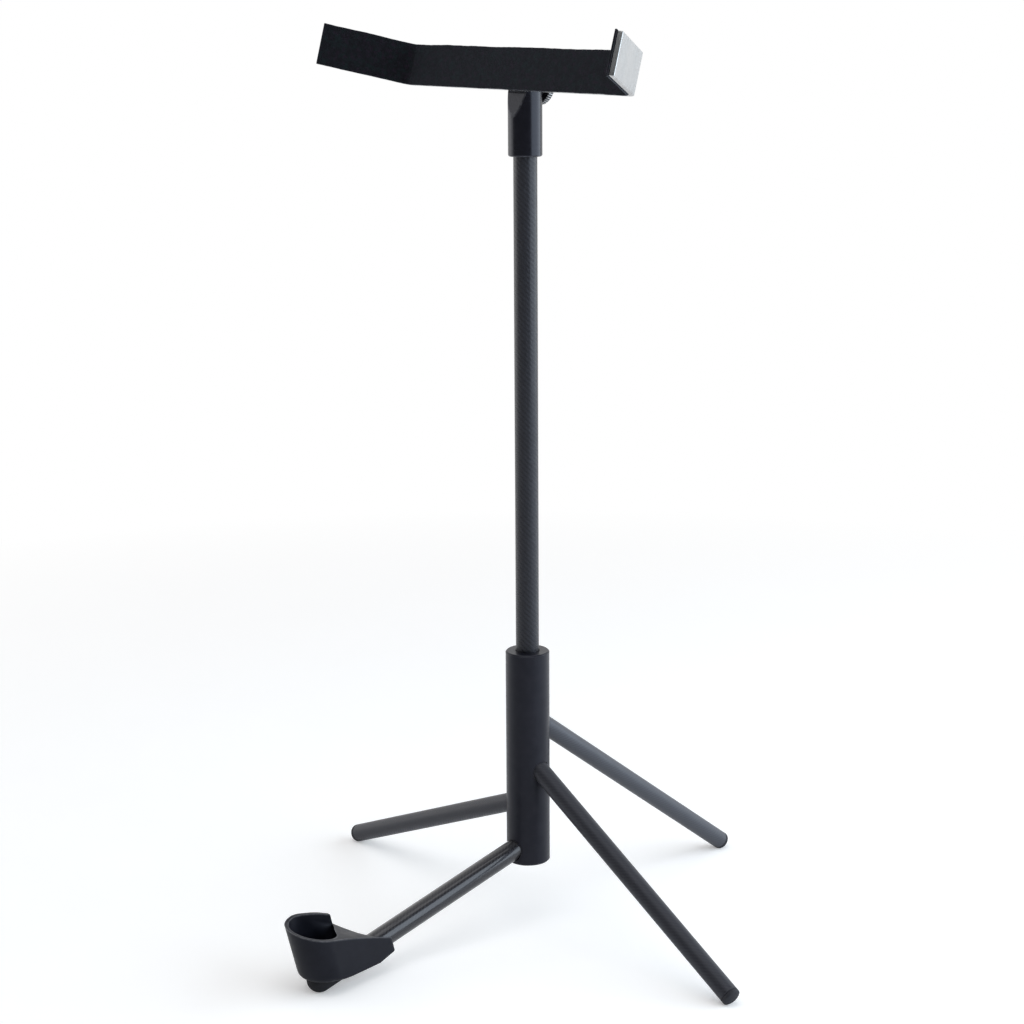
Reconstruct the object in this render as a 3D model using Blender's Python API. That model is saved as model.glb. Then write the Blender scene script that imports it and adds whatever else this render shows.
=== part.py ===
"""Contrabassoon stand: a hub with three plug-in legs, a cup arm, a post and a felt-lined cradle.

Metres, +Z up, the floor at z = 0. +X runs along the right leg, +Y along the rear leg and -Y along the
cup arm. The origin is on the floor below the middle of the stand's outline.
"""

import math

import bmesh
import bpy
from mathutils import Vector

# Clearances
FIT_GAP = 0.0003
SOCKET_GAP = 0.00025
RING_GAP = 0.00015
MERGE = 1e-6

# Facets round a full turn
FINE = 64
ROUND = 32

# Footprint
LEG_REACH = 0.252
CUP_REACH = 0.2597
HUB_Y = (CUP_REACH - LEG_REACH) / 2

# Hub
HUB_RADIUS = 0.019
HUB_BOTTOM = 0.054
HUB_TOP = 0.246
HUB_CHAMFER = 0.0011
SOCKET_PITCH = 0.0391
LOWEST_SOCKET = 0.0713
SOCKET_PAST_AXIS = 0.004
POST_SOCKET_FLOOR = 0.208
MOUTH_CHAMFER = 0.0006

# Rubber rings in the sockets
RING_RADIUS = 0.0009
RING_AXIAL_PLAY = 0.0002
LEG_RING_AT = 0.010
POST_RING_AT = 0.230
HEAD_RING_AT = 0.684

# Legs
LEG_RADIUS = 0.00825
LEG_WALL = 0.0015
FOOT_FLANGE = 0.003
FOOT_DOME = 0.0027
FOOT_SPIGOT = 0.014
FOOT_WEAR = 0.0008

# Cup arm
ARM_RADIUS = 0.009
ARM_WALL = 0.0015
ARM_END_REACH = 0.229
CAP_RADIUS = 0.0108
CAP_MOUTH_S = 0.014
CAP_NOSE = 0.002

# Cup, in its own frame: x across, s along the arm towards the hub, h square to both
CUP_CENTRE_REACH = 0.225
CUP_CENTRE_HEIGHT = 0.0114
CUP_RADIUS = 0.021
CUP_END_S = 0.065
CUP_END_HALF_WIDTH = 0.0107
CUP_END_CORNER = 0.0025
CUP_WALL = 0.003
POCKET_FLOOR = 0.0132
SHELF_HEIGHT = 0.0415
SHELF_SLOPE = 0.515
SHELF_ARCH = 1.4
SHELF_TWIST = [(-0.010, 0.20), (0.0284, 0.093), (0.065, -0.44)]
LIP_LIFT = 0.0095
LIP_LIFT_START = -0.010
LIP_LIFT_LENGTH = 0.026
LIP_END_S = 0.0275
CUT_STEP = 0.003
CUP_UNDERSIDE = 0.0125
CUP_HEEL = -0.0112
CUP_BLANK_TOP = 0.062
PAD_THICKNESS = 0.002

# Post and head
POST_RADIUS = 0.010
POST_WALL = 0.0015
HEAD_RADIUS = 0.01425
HEAD_BOTTOM = 0.670
HEAD_TOP = 0.756
HEAD_SOCKET_DEPTH = 0.038
HEAD_CHAMFER = 0.0008
SCARF_TILT = math.radians(16)
SCARF_START = 0.7035

# Cradle
BAR_WIDTH = 0.034
BAR_THICKNESS = 0.0043
FELT_THICKNESS = 0.0011
FELT_OVERHANG = 0.0007
CRADLE_HALF_MIDDLE = 0.1355
CRADLE_ARM = 0.0790
CRADLE_BEND = math.radians(56.8)
CRADLE_BEND_RADIUS = 0.0065
CRADLE_CENTRE = 0.7395
BOLT_BELOW_CENTRE = 0.0088

# Clamp
BOLT_RADIUS = 0.003
BOLT_HEAD_RADIUS = 0.006
BOLT_SOCKET_RADIUS = 0.0023
BOLT_SOCKET_DEPTH = 0.0022
BOLT_HOLE_GAP = 0.0003
BOLT_END = 0.0302
SPOT_FACE_DEPTH = 0.0185
SPOT_FACE_RADIUS = 0.0145
WASHER_RADIUS = 0.007
WASHER_THICKNESS = 0.0012
NUT_BOSS_RADIUS = 0.0065
NUT_FRONT = 0.0203
NUT_DISC_FRONT = 0.0238
NUT_DISC_BACK = 0.0288
NUT_RADIUS = 0.013
NUT_RIDGES = 48
NUT_RIDGE_DEPTH = 0.0005
NUT_CHAMFER = 0.0006

# How far a cutter runs past what it cuts
CLEAR = 0.010

SCARF_SLOPE = math.tan(SCARF_TILT)
FOOT_DOME_RADIUS = (LEG_RADIUS**2 + FOOT_DOME**2) / (2 * FOOT_DOME)
FOOT_DOME_SPREAD = math.asin(LEG_RADIUS / FOOT_DOME_RADIUS)


def clear_scene():
    """Removes every object, so that the script starts from nothing."""
    for obj in list(bpy.data.objects):
        bpy.data.objects.remove(obj, do_unlink=True)


def finish(name, color, roughness, metallic):
    """A Principled BSDF material of one colour (linear red, green, blue)."""
    material = bpy.data.materials.new(name)
    material.use_nodes = True
    shader = material.node_tree.nodes["Principled BSDF"]
    shader.inputs["Base Color"].default_value = (*color, 1.0)
    shader.inputs["Roughness"].default_value = roughness
    shader.inputs["Metallic"].default_value = metallic
    return material


def add_frame(name, location, rotation=(0.0, 0.0, 0.0), parent=None):
    """An empty that marks an axis; its children are placed in its frame."""
    frame = bpy.data.objects.new(name, None)
    bpy.context.scene.collection.objects.link(frame)
    frame.parent = parent
    frame.location = location
    frame.rotation_euler = rotation
    return frame


def add_object(name, mesh, parent, material):
    """An object that shows this mesh in its parent's frame."""
    mesh.shade_smooth()
    mesh.set_sharp_from_angle(angle=math.radians(30))
    obj = bpy.data.objects.new(name, mesh)
    bpy.context.scene.collection.objects.link(obj)
    obj.parent = parent
    mesh.materials.append(material)
    return obj


def mesh_from(bm, name):
    """The mesh of this bmesh, with its faces turned outwards."""
    bmesh.ops.recalc_face_normals(bm, faces=bm.faces)
    mesh = bpy.data.meshes.new(name)
    bm.to_mesh(mesh)
    bm.free()
    return mesh


def turned(name, profile, segments=ROUND, first_facet=0.0):
    """A profile of (radius, z) points turned about Z: a solid if it ends on the axis, else a ring.

    The first corner lies on +X, or this share of a facet further round.
    """
    bm = bmesh.new()
    angle = first_facet * math.tau / segments
    points = [
        bm.verts.new((radius * math.cos(angle), radius * math.sin(angle), z)) for radius, z in profile
    ]
    edges = [bm.edges.new(pair) for pair in zip(points, points[1:])]
    if profile[0][0] > 0.0:
        edges.append(bm.edges.new((points[-1], points[0])))
    bmesh.ops.spin(
        bm,
        geom=points + edges,
        cent=(0.0, 0.0, 0.0),
        axis=(0.0, 0.0, 1.0),
        angle=math.tau,
        steps=segments,
        use_merge=True,
    )
    bmesh.ops.remove_doubles(bm, verts=bm.verts, dist=MERGE)
    return mesh_from(bm, name)


def rod(name, radius, start, end, segments=ROUND):
    """A plain solid cylinder along Z."""
    return turned(name, [(0.0, start), (radius, start), (radius, end), (0.0, end)], segments)


def tube(name, radius, wall, start, end, segments=ROUND):
    """A plain tube along Z, open at both ends."""
    inner = radius - wall
    return turned(name, [(inner, start), (radius, start), (radius, end), (inner, end)], segments)


def extruded(name, outline, direction):
    """A flat outline of 3-D points pushed along a direction into a closed solid."""
    bm = bmesh.new()
    face = bm.faces.new([bm.verts.new(point) for point in outline])
    moved = bmesh.ops.extrude_face_region(bm, geom=[face])["geom"]
    tops = [item for item in moved if isinstance(item, bmesh.types.BMVert)]
    bmesh.ops.translate(bm, verts=tops, vec=direction)
    return mesh_from(bm, name)


def cut(obj, mesh, parent, operation="DIFFERENCE"):
    """Cuts a helper mesh, placed in its parent's frame, from an object, and returns the helper."""
    helper = bpy.data.objects.new(mesh.name, mesh)
    bpy.context.scene.collection.objects.link(helper)
    helper.parent = parent
    helper.hide_render = True
    helper.display_type = "WIRE"
    boolean = obj.modifiers.new(mesh.name, "BOOLEAN")
    boolean.operation = operation
    boolean.solver = "EXACT"
    boolean.object = helper
    return helper


def arc(centre, radius, start, end, steps):
    """Points of a circle's arc in a plane, from one angle to another, both ends included."""
    angles = [start + (end - start) * i / steps for i in range(steps + 1)]
    return [(centre[0] + radius * math.cos(a), centre[1] + radius * math.sin(a)) for a in angles]


class Arm:
    """A tube's place: it leaves the hub's axis at a height, turned about Z, and drops to its end."""

    def __init__(self, name, turn, socket, radius, end_reach, end_height, parent):
        drop = (socket - end_height) / end_reach
        self.name = name
        self.radius = radius
        self.tilt = math.atan(drop)
        self.length = math.hypot(end_reach, socket - end_height)
        rotation = (0.0, math.pi / 2 + self.tilt, turn)
        self.frame = add_frame(f"{name}_axis", (0.0, 0.0, socket), rotation, parent)


def leg_end(tilt):
    """Reach and height of the end of a leg's axis, for a foot that reaches LEG_REACH and wears flat."""
    if tilt < FOOT_DOME_SPREAD:
        overhang = FOOT_DOME_RADIUS - (FOOT_DOME_RADIUS - FOOT_DOME) * math.cos(tilt)
    else:
        overhang = LEG_RADIUS * math.sin(tilt)
    return LEG_REACH - overhang, LEG_RADIUS * math.cos(tilt) - FOOT_WEAR


def leg_arm(name, turn, socket, parent):
    """The place of a leg, worked out from where its rubber foot meets the floor."""
    tilt = 0.0
    for _ in range(20):
        reach, height = leg_end(tilt)
        tilt = math.atan((socket - height) / reach)
    reach, height = leg_end(tilt)
    return Arm(name, turn, socket, LEG_RADIUS, reach, height, parent)


def ring_profile(radius, middle):
    """The round section of a rubber ring that sits on a tube of this radius."""
    centre = (radius + RING_GAP + RING_RADIUS, middle)
    return arc(centre, RING_RADIUS, 0.0, math.tau * 7 / 8, 7)


def groove(name, radius, middle):
    """The groove that a rubber ring lies in, as a cutter."""
    half = RING_RADIUS + RING_AXIAL_PLAY
    outer = radius + 2 * (RING_GAP + RING_RADIUS)
    return rod(name, outer, middle - half, middle + half)


def build_hub(stand, arms, material):
    """The turned column with a socket for each arm and one for the post."""
    profile = [
        (0.0, HUB_BOTTOM),
        (HUB_RADIUS - HUB_CHAMFER, HUB_BOTTOM),
        (HUB_RADIUS, HUB_BOTTOM + HUB_CHAMFER),
        (HUB_RADIUS, HUB_TOP - HUB_CHAMFER),
        (HUB_RADIUS - HUB_CHAMFER, HUB_TOP),
        (0.0, HUB_TOP),
    ]
    hub = add_object("hub", turned("hub", profile, FINE, 0.5), stand, material)
    bore = POST_RADIUS + SOCKET_GAP
    mouth = [
        (0.0, POST_SOCKET_FLOOR),
        (bore, POST_SOCKET_FLOOR),
        (bore, HUB_TOP - MOUTH_CHAMFER),
        (bore + MOUTH_CHAMFER + CLEAR, HUB_TOP + CLEAR),
        (0.0, HUB_TOP + CLEAR),
    ]
    cut(hub, turned("post_socket", mouth), stand)
    cut(hub, groove("post_groove", POST_RADIUS, POST_RING_AT), stand)
    for arm in arms:
        blind_end = -SOCKET_PAST_AXIS - FIT_GAP
        socket = rod(f"{arm.name}_socket", arm.radius + SOCKET_GAP, blind_end, HUB_RADIUS * 2)
        cut(hub, socket, arm.frame)
        cut(hub, groove(f"{arm.name}_groove", arm.radius, LEG_RING_AT), arm.frame)


def build_ring(name, radius, middle, parent, material):
    """One rubber ring round a tube."""
    add_object(name, turned(name, ring_profile(radius, middle)), parent, material)


def build_leg(arm, floor, tube_material, foot_material):
    """A leg tube and the rubber foot plugged into its outer end."""
    tube_end = arm.length - FOOT_FLANGE - FIT_GAP
    mesh = tube(arm.name, LEG_RADIUS, LEG_WALL, -SOCKET_PAST_AXIS, tube_end)
    add_object(arm.name, mesh, arm.frame, tube_material)
    spigot = LEG_RADIUS - LEG_WALL - FIT_GAP
    dome_centre = (0.0, arm.length + FOOT_DOME - FOOT_DOME_RADIUS)
    dome = arc(dome_centre, FOOT_DOME_RADIUS, math.pi / 2 - FOOT_DOME_SPREAD, math.pi / 2, 6)
    profile = [
        (0.0, tube_end - FOOT_SPIGOT),
        (spigot, tube_end - FOOT_SPIGOT),
        (spigot, arm.length - FOOT_FLANGE),
        (LEG_RADIUS, arm.length - FOOT_FLANGE),
    ]
    profile += dome[:-1] + [(0.0, arm.length + FOOT_DOME)]
    name = arm.name.replace("leg", "foot")
    foot = add_object(name, turned(name, profile), arm.frame, foot_material)
    cut_floor(foot, floor)


def cut_floor(obj, stand):
    """Cuts off what would reach below the floor."""
    half = LEG_REACH * 2
    corners = [(-half, -half, 0.0), (half, -half, 0.0), (half, half, 0.0), (-half, half, 0.0)]
    cut(obj, extruded(f"{obj.name}_floor", corners, (0.0, 0.0, -CLEAR * 3)), stand)


def build_cup_arm(arm, stand, tube_material, cap_material):
    """The tube that carries the cup, and the rubber cap that it stands on."""
    add_object(
        arm.name,
        tube(arm.name, ARM_RADIUS, ARM_WALL, -SOCKET_PAST_AXIS, arm.length),
        arm.frame,
        tube_material,
    )
    mouth = arm_distance(CAP_MOUTH_S, arm)
    bore = ARM_RADIUS + SOCKET_GAP
    nose = arc((0.0, arm.length + CAP_NOSE), CAP_RADIUS, 0.0, math.pi / 2, 8)
    profile = [(0.0, arm.length + FIT_GAP), (bore, arm.length + FIT_GAP), (bore, mouth)]
    profile += [(CAP_RADIUS, mouth)] + nose[:-1] + [(0.0, arm.length + CAP_NOSE + CAP_RADIUS)]
    cap = add_object("cup_foot", turned("cup_foot", profile), arm.frame, cap_material)
    cut_floor(cap, stand)


def arm_distance(s, arm):
    """How far along the arm from the hub's axis a place s in the cup's frame lies."""
    return CUP_CENTRE_REACH / math.cos(arm.tilt) - s


def side_touch(radius, half_width):
    """The angle, from +x, at which a straight side leaves the round front for the narrow end."""
    reach = math.hypot(half_width, CUP_END_S)
    return math.atan2(CUP_END_S, half_width) - math.acos(radius / reach)


def cup_outline():
    """The cup seen along h: a round front, two straight sides and a narrow end, as (x, s) points."""
    touch = side_touch(CUP_RADIUS, CUP_END_HALF_WIDTH)
    front = arc((0.0, 0.0), CUP_RADIUS, touch, -math.pi - touch, 48)
    corner = CUP_END_CORNER
    inner = CUP_END_HALF_WIDTH - corner
    far = arc((-inner, CUP_END_S - corner), corner, math.pi, math.pi / 2, 4)
    near = arc((inner, CUP_END_S - corner), corner, math.pi / 2, 0.0, 4)
    return front + far + near


def shelf_outline():
    """Everything but the lip: the near half, the space inside the lip, and what lies past its end."""
    inside = CUP_RADIUS - CUP_WALL
    end_inside = CUP_END_HALF_WIDTH - CUP_WALL
    touch = math.pi - side_touch(inside, end_inside)
    within_pocket = arc((0.0, 0.0), inside - FIT_GAP, math.pi * 1.5, touch, 12)
    x, s = inside * math.cos(touch), inside * math.sin(touch)
    lip_end_x = x - (end_inside + x) * (LIP_END_S - s) / (CUP_END_S - s)
    far, near, back = -CUP_RADIUS * 2, CUP_RADIUS * 2, CUP_END_S + CLEAR
    corners = [(x, s), (lip_end_x, LIP_END_S), (far, LIP_END_S), (far, back), (near, back)]
    return within_pocket + corners + [(near, far), (0.0, far)]


def side_half_width(s):
    """How far the cup's straight sides lie from its middle at a place s."""
    touch = side_touch(CUP_RADIUS, CUP_END_HALF_WIDTH)
    share = (s - CUP_RADIUS * math.sin(touch)) / (CUP_END_S - CUP_RADIUS * math.sin(touch))
    start = CUP_RADIUS * math.cos(touch)
    return start + (CUP_END_HALF_WIDTH - start) * max(0.0, share)


def shelf_height(x, s):
    """The shelf: an arched slope along its near edge, twisted so that its far edge falls more steeply."""
    near = SHELF_HEIGHT - SHELF_SLOPE * s - SHELF_ARCH * s * s
    (start, slope), (middle, middle_slope), (end, end_slope) = SHELF_TWIST
    if s < middle:
        share = max(0.0, (s - start) / (middle - start))
        rise = slope + (middle_slope - slope) * share
    else:
        rise = middle_slope + (end_slope - middle_slope) * (s - middle) / (end - middle)
    return near + rise * (side_half_width(s) - x)


def lip_height(x, s):
    """The top of the lip, which swells out of the front rim."""
    share = min(1.0, max(0.0, (s - LIP_LIFT_START) / LIP_LIFT_LENGTH))
    return shelf_height(x, s) + LIP_LIFT * share * share * (3 - 2 * share)


def above(name, height):
    """Everything in the cup's blank above a surface, which is given as a function of x and s."""
    half, front, back = CUP_RADIUS + CUT_STEP, -CUP_RADIUS - CUT_STEP, CUP_END_S + CUT_STEP
    columns, rows = round(half * 2 / CUT_STEP), round((back - front) / CUT_STEP)
    bm = bmesh.new()
    grid = []
    for i in range(rows + 1):
        s = front + (back - front) * i / rows
        xs = [-half + half * 2 * j / columns for j in range(columns + 1)]
        grid.append([bm.verts.new((x, s, height(x, s))) for x in xs])
    for lower, upper in zip(grid, grid[1:]):
        for a, b, c, d in zip(lower, lower[1:], upper[1:], upper):
            bm.faces.new((a, b, c))
            bm.faces.new((a, c, d))
    moved = bmesh.ops.extrude_face_region(bm, geom=list(bm.faces))["geom"]
    for item in moved:
        if isinstance(item, bmesh.types.BMVert):
            item.co.z = CUP_BLANK_TOP * 2
    return mesh_from(bm, name)


def across(name, outline):
    """A cutter whose (s, h) outline runs right across the cup."""
    half = CUP_RADIUS * 2
    return extruded(name, [(-half, s, h) for s, h in outline], (half * 2, 0.0, 0.0))


def build_cup(arm, frame, material, pad_material):
    """The moulded cup: pocket, raised lip on one side, sloping shelf, level underside, tube socket."""
    blank = [(x, s, CUP_HEEL) for x, s in cup_outline()]
    mesh = extruded("cup", blank, (0.0, 0.0, CUP_BLANK_TOP - CUP_HEEL))
    cup = add_object("cup", mesh, frame, material)
    front, back = -CUP_RADIUS * 2, CUP_END_S + CLEAR

    cut(cup, above("lip_top", lip_height), frame)
    region = [(x, s, 0.0) for x, s in shelf_outline()]
    shelf = cut(cup, extruded("shelf", region, (0.0, 0.0, CUP_BLANK_TOP * 1.5)), frame)
    cut(shelf, above("shelf_top", shelf_height), frame, "INTERSECT")
    cut(cup, rod("pocket", CUP_RADIUS - CUP_WALL, POCKET_FLOOR, CUP_BLANK_TOP * 2, FINE), frame)

    def level(s):
        return (CUP_UNDERSIDE - CUP_CENTRE_HEIGHT - s * math.sin(arm.tilt)) / math.cos(arm.tilt)

    below = [(front, level(front)), (back, level(back))]
    below += [(back, -CUP_BLANK_TOP), (front, -CUP_BLANK_TOP)]
    cut(cup, across("underside", below), frame)

    end = arm_distance(CUP_END_S + CLEAR, arm)
    outer = arm.length + CUP_RADIUS * 2
    cut(cup, rod("arm_bore", ARM_RADIUS + SOCKET_GAP, end, outer), arm.frame)
    cap_start = arm_distance(CAP_MOUTH_S, arm) - FIT_GAP
    cut(cup, rod("cap_bore", CAP_RADIUS + FIT_GAP, cap_start, outer), arm.frame)

    pad_start = POCKET_FLOOR + FIT_GAP
    pad_radius = CUP_RADIUS - CUP_WALL - FIT_GAP
    pad = rod("cup_pad", pad_radius, pad_start, pad_start + PAD_THICKNESS, FINE)
    add_object("cup_pad", pad, frame, pad_material)


def build_post(frame, material):
    """The upright tube between hub and head."""
    top = HEAD_BOTTOM + HEAD_SOCKET_DEPTH - FIT_GAP
    length = top - POST_SOCKET_FLOOR - FIT_GAP
    add_object("post_tube", tube("post_tube", POST_RADIUS, POST_WALL, 0.0, length), frame, material)


def build_head(frame, stand, clamp, material):
    """The turned head: scarf-cut front, socket for the post, bolt hole and spot face."""
    height = HEAD_TOP - HEAD_BOTTOM
    profile = [
        (0.0, 0.0),
        (HEAD_RADIUS - HEAD_CHAMFER, 0.0),
        (HEAD_RADIUS, HEAD_CHAMFER),
        (HEAD_RADIUS, height - HEAD_CHAMFER),
        (HEAD_RADIUS - HEAD_CHAMFER, height),
        (0.0, height),
    ]
    head = add_object("head", turned("head", profile, FINE, 0.5), frame, material)
    half = HEAD_RADIUS * 2
    tall = height * 2
    corners = [(-half, -tall, 0.0), (half, -tall, 0.0), (half, tall, 0.0), (-half, tall, 0.0)]
    cut(head, extruded("scarf", corners, (0.0, 0.0, half * 2)), clamp)
    cut(head, rod("head_socket", POST_RADIUS + SOCKET_GAP, -CLEAR, HEAD_SOCKET_DEPTH), frame)
    cut(head, groove("head_groove", POST_RADIUS, HEAD_RING_AT - HEAD_BOTTOM), frame)
    cut(head, rod("bolt_hole", BOLT_RADIUS + BOLT_HOLE_GAP, -half * 2, CLEAR), clamp)
    cut(head, rod("spot_face", SPOT_FACE_RADIUS, -half * 2, -SPOT_FACE_DEPTH), clamp)


def strip_edge(behind, overrun):
    """The cradle's right half, as (x, n) points on the line this far behind the felt's face."""
    face = FIT_GAP * 2 + BAR_THICKNESS + FELT_THICKNESS
    tangent = CRADLE_BEND_RADIUS * math.tan(CRADLE_BEND / 2)
    centre = (CRADLE_HALF_MIDDLE - tangent, face + CRADLE_BEND_RADIUS)
    radius = CRADLE_BEND_RADIUS + behind
    points = arc(centre, radius, -math.pi / 2, CRADLE_BEND - math.pi / 2, 8)
    straight = CRADLE_ARM - tangent + overrun
    x, n = points[-1]
    points.append((x + straight * math.cos(CRADLE_BEND), n + straight * math.sin(CRADLE_BEND)))
    return points


def bent_strip(name, front, back, width, overrun=0.0):
    """A strip bent up at both ends, between two distances behind the felt's face."""
    inner = strip_edge(front, overrun)
    outer = strip_edge(back, overrun)
    half = inner + outer[::-1]
    whole = inner[::-1] + [(-x, n) for x, n in inner] + [(-x, n) for x, n in outer[::-1]] + outer
    middle = BOLT_BELOW_CENTRE
    outline = [(x, middle - width / 2, n) for x, n in whole]
    return extruded(name, outline, (0.0, width, 0.0))


def build_cradle(clamp, bar_material, felt_material, bolt_material):
    """The bent bar, its felt and the countersunk bolt through its middle."""
    bar_front = FELT_THICKNESS + FIT_GAP
    mesh = bent_strip("cradle_bar", bar_front, bar_front + BAR_THICKNESS, BAR_WIDTH)
    bar = add_object("cradle_bar", mesh, clamp, bar_material)
    face = FIT_GAP + BAR_THICKNESS
    sink = BOLT_HEAD_RADIUS - BOLT_RADIUS
    wide = BOLT_HEAD_RADIUS + BOLT_HOLE_GAP
    narrow = BOLT_RADIUS + BOLT_HOLE_GAP
    countersink = [
        (0.0, -CLEAR),
        (narrow, -CLEAR),
        (narrow, face - sink),
        (wide, face),
        (wide, face + CLEAR),
        (0.0, face + CLEAR),
    ]
    cut(bar, turned("countersink", countersink), clamp)

    felt_width = BAR_WIDTH + 2 * FELT_OVERHANG
    felt = bent_strip("felt_lining", 0.0, FELT_THICKNESS, felt_width, FELT_OVERHANG)
    add_object("felt_lining", felt, clamp, felt_material)

    top = face - FIT_GAP / 2
    profile = [
        (0.0, -BOLT_END),
        (BOLT_RADIUS, -BOLT_END),
        (BOLT_RADIUS, top - sink),
        (BOLT_HEAD_RADIUS, top),
        (0.0, top),
    ]
    bolt = add_object("cradle_bolt", turned("cradle_bolt", profile), clamp, bolt_material)
    key = turned(
        "bolt_key",
        [
            (0.0, top - BOLT_SOCKET_DEPTH),
            (BOLT_SOCKET_RADIUS, top - BOLT_SOCKET_DEPTH),
            (BOLT_SOCKET_RADIUS, top + CLEAR),
            (0.0, top + CLEAR),
        ],
        segments=6,
    )
    cut(bolt, key, clamp)


def build_clamp(clamp, washer_material, nut_material):
    """The washer and the knurled thumb nut on the back end of the bolt."""
    hole = BOLT_RADIUS + BOLT_HOLE_GAP
    back = -SPOT_FACE_DEPTH - FIT_GAP
    washer = tube("clamp_washer", WASHER_RADIUS, WASHER_RADIUS - hole, back - WASHER_THICKNESS, back)
    add_object("clamp_washer", washer, clamp, washer_material)

    count = NUT_RIDGES * 2
    outline = []
    for i in range(count):
        radius = NUT_RADIUS - NUT_RIDGE_DEPTH * (i % 2)
        angle = math.tau * i / count
        outline.append((radius * math.cos(angle), radius * math.sin(angle), -NUT_DISC_BACK))
    mesh = extruded("thumb_nut", outline, (0.0, 0.0, NUT_DISC_BACK - NUT_DISC_FRONT))
    nut = add_object("thumb_nut", mesh, clamp, nut_material)
    rim = NUT_RADIUS - NUT_CHAMFER
    envelope = [
        (0.0, -NUT_DISC_BACK - FIT_GAP),
        (rim - FIT_GAP, -NUT_DISC_BACK - FIT_GAP),
        (NUT_RADIUS + FIT_GAP, -NUT_DISC_BACK + NUT_CHAMFER),
        (NUT_RADIUS + FIT_GAP, -NUT_DISC_FRONT - NUT_CHAMFER),
        (rim - FIT_GAP, -NUT_DISC_FRONT + FIT_GAP),
        (0.0, -NUT_DISC_FRONT + FIT_GAP),
    ]
    cut(nut, turned("nut_envelope", envelope), clamp, "INTERSECT")
    boss = rod("nut_boss", NUT_BOSS_RADIUS, -NUT_DISC_FRONT - FIT_GAP, -NUT_FRONT)
    cut(nut, boss, clamp, "UNION")
    cut(nut, rod("nut_bore", hole, -NUT_DISC_BACK - CLEAR, -NUT_FRONT + CLEAR), clamp)


def main():
    """Builds the stand."""
    clear_scene()
    acetal = finish("black_acetal", (0.017, 0.017, 0.026), 0.38, 0.0)
    carbon = finish("carbon_tube", (0.045, 0.05, 0.06), 0.35, 0.0)
    satin_carbon = finish("satin_carbon", (0.04, 0.04, 0.045), 0.42, 0.0)
    rubber = finish("black_rubber", (0.012, 0.012, 0.013), 0.75, 0.0)
    aluminium = finish("satin_aluminium", (0.62, 0.64, 0.66), 0.35, 1.0)
    black_metal = finish("black_metal", (0.02, 0.02, 0.022), 0.3, 1.0)
    felt = finish("black_felt", (0.007, 0.007, 0.011), 0.95, 0.0)
    steel = finish("bolt_steel", (0.5, 0.5, 0.5), 0.3, 1.0)
    moulded = finish("moulded_plastic", (0.028, 0.031, 0.04), 0.45, 0.0)

    stand = add_frame("stand_axis", (0.0, HUB_Y, 0.0))
    cup_end = CUP_CENTRE_HEIGHT + (CUP_CENTRE_HEIGHT - LOWEST_SOCKET) * (
        ARM_END_REACH / CUP_CENTRE_REACH - 1
    )
    cup_arm = Arm("cup_arm", -math.pi / 2, LOWEST_SOCKET, ARM_RADIUS, ARM_END_REACH, cup_end, stand)
    left_leg = leg_arm("left_leg", math.pi, LOWEST_SOCKET + SOCKET_PITCH, stand)
    right_leg = leg_arm("right_leg", 0.0, LOWEST_SOCKET + 2 * SOCKET_PITCH, stand)
    rear_leg = leg_arm("rear_leg", math.pi / 2, LOWEST_SOCKET + 3 * SOCKET_PITCH, stand)
    legs = [right_leg, rear_leg, left_leg]

    build_hub(stand, [cup_arm, *legs], acetal)
    build_ring("post_ring", POST_RADIUS, POST_RING_AT, stand, rubber)
    build_ring("arm_ring", ARM_RADIUS, LEG_RING_AT, cup_arm.frame, rubber)
    for leg in legs:
        build_ring(leg.name.replace("leg", "ring"), LEG_RADIUS, LEG_RING_AT, leg.frame, rubber)
        build_leg(leg, stand, satin_carbon, rubber)

    build_cup_arm(cup_arm, stand, carbon, rubber)
    cup_place = (0.0, -CUP_CENTRE_REACH, CUP_CENTRE_HEIGHT)
    cup_frame = add_frame("cup_axis", cup_place, (cup_arm.tilt, 0.0, 0.0), stand)
    build_cup(cup_arm, cup_frame, moulded, rubber)

    post_frame = add_frame("post_axis", (0.0, 0.0, POST_SOCKET_FLOOR + FIT_GAP), parent=stand)
    build_post(post_frame, carbon)

    head_frame = add_frame("head_axis", (0.0, 0.0, HEAD_BOTTOM), parent=stand)
    centre_y = -HEAD_RADIUS + SCARF_SLOPE * (CRADLE_CENTRE - SCARF_START)
    down = Vector((0.0, -math.sin(SCARF_TILT), -math.cos(SCARF_TILT))) * BOLT_BELOW_CENTRE
    clamp_place = Vector((0.0, centre_y, CRADLE_CENTRE)) + down
    clamp = add_frame("clamp_axis", clamp_place, (math.pi / 2 - SCARF_TILT, 0.0, 0.0), stand)
    build_head(head_frame, stand, clamp, acetal)
    build_ring("head_ring", POST_RADIUS, HEAD_RING_AT - HEAD_BOTTOM, head_frame, rubber)
    build_cradle(clamp, aluminium, felt, steel)
    build_clamp(clamp, aluminium, black_metal)


main()
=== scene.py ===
"""Contrabassoon stand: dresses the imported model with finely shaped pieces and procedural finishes.

Every length is in metres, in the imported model's frame: +Z up, the floor at z = 0, +X along the right leg, +Y along
the rear leg and -Y along the cup arm.
"""

from __future__ import annotations

import logging
import math
from dataclasses import dataclass, field
from enum import Enum

import bmesh
import bpy
import numpy as np
from mathutils import Matrix

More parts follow.
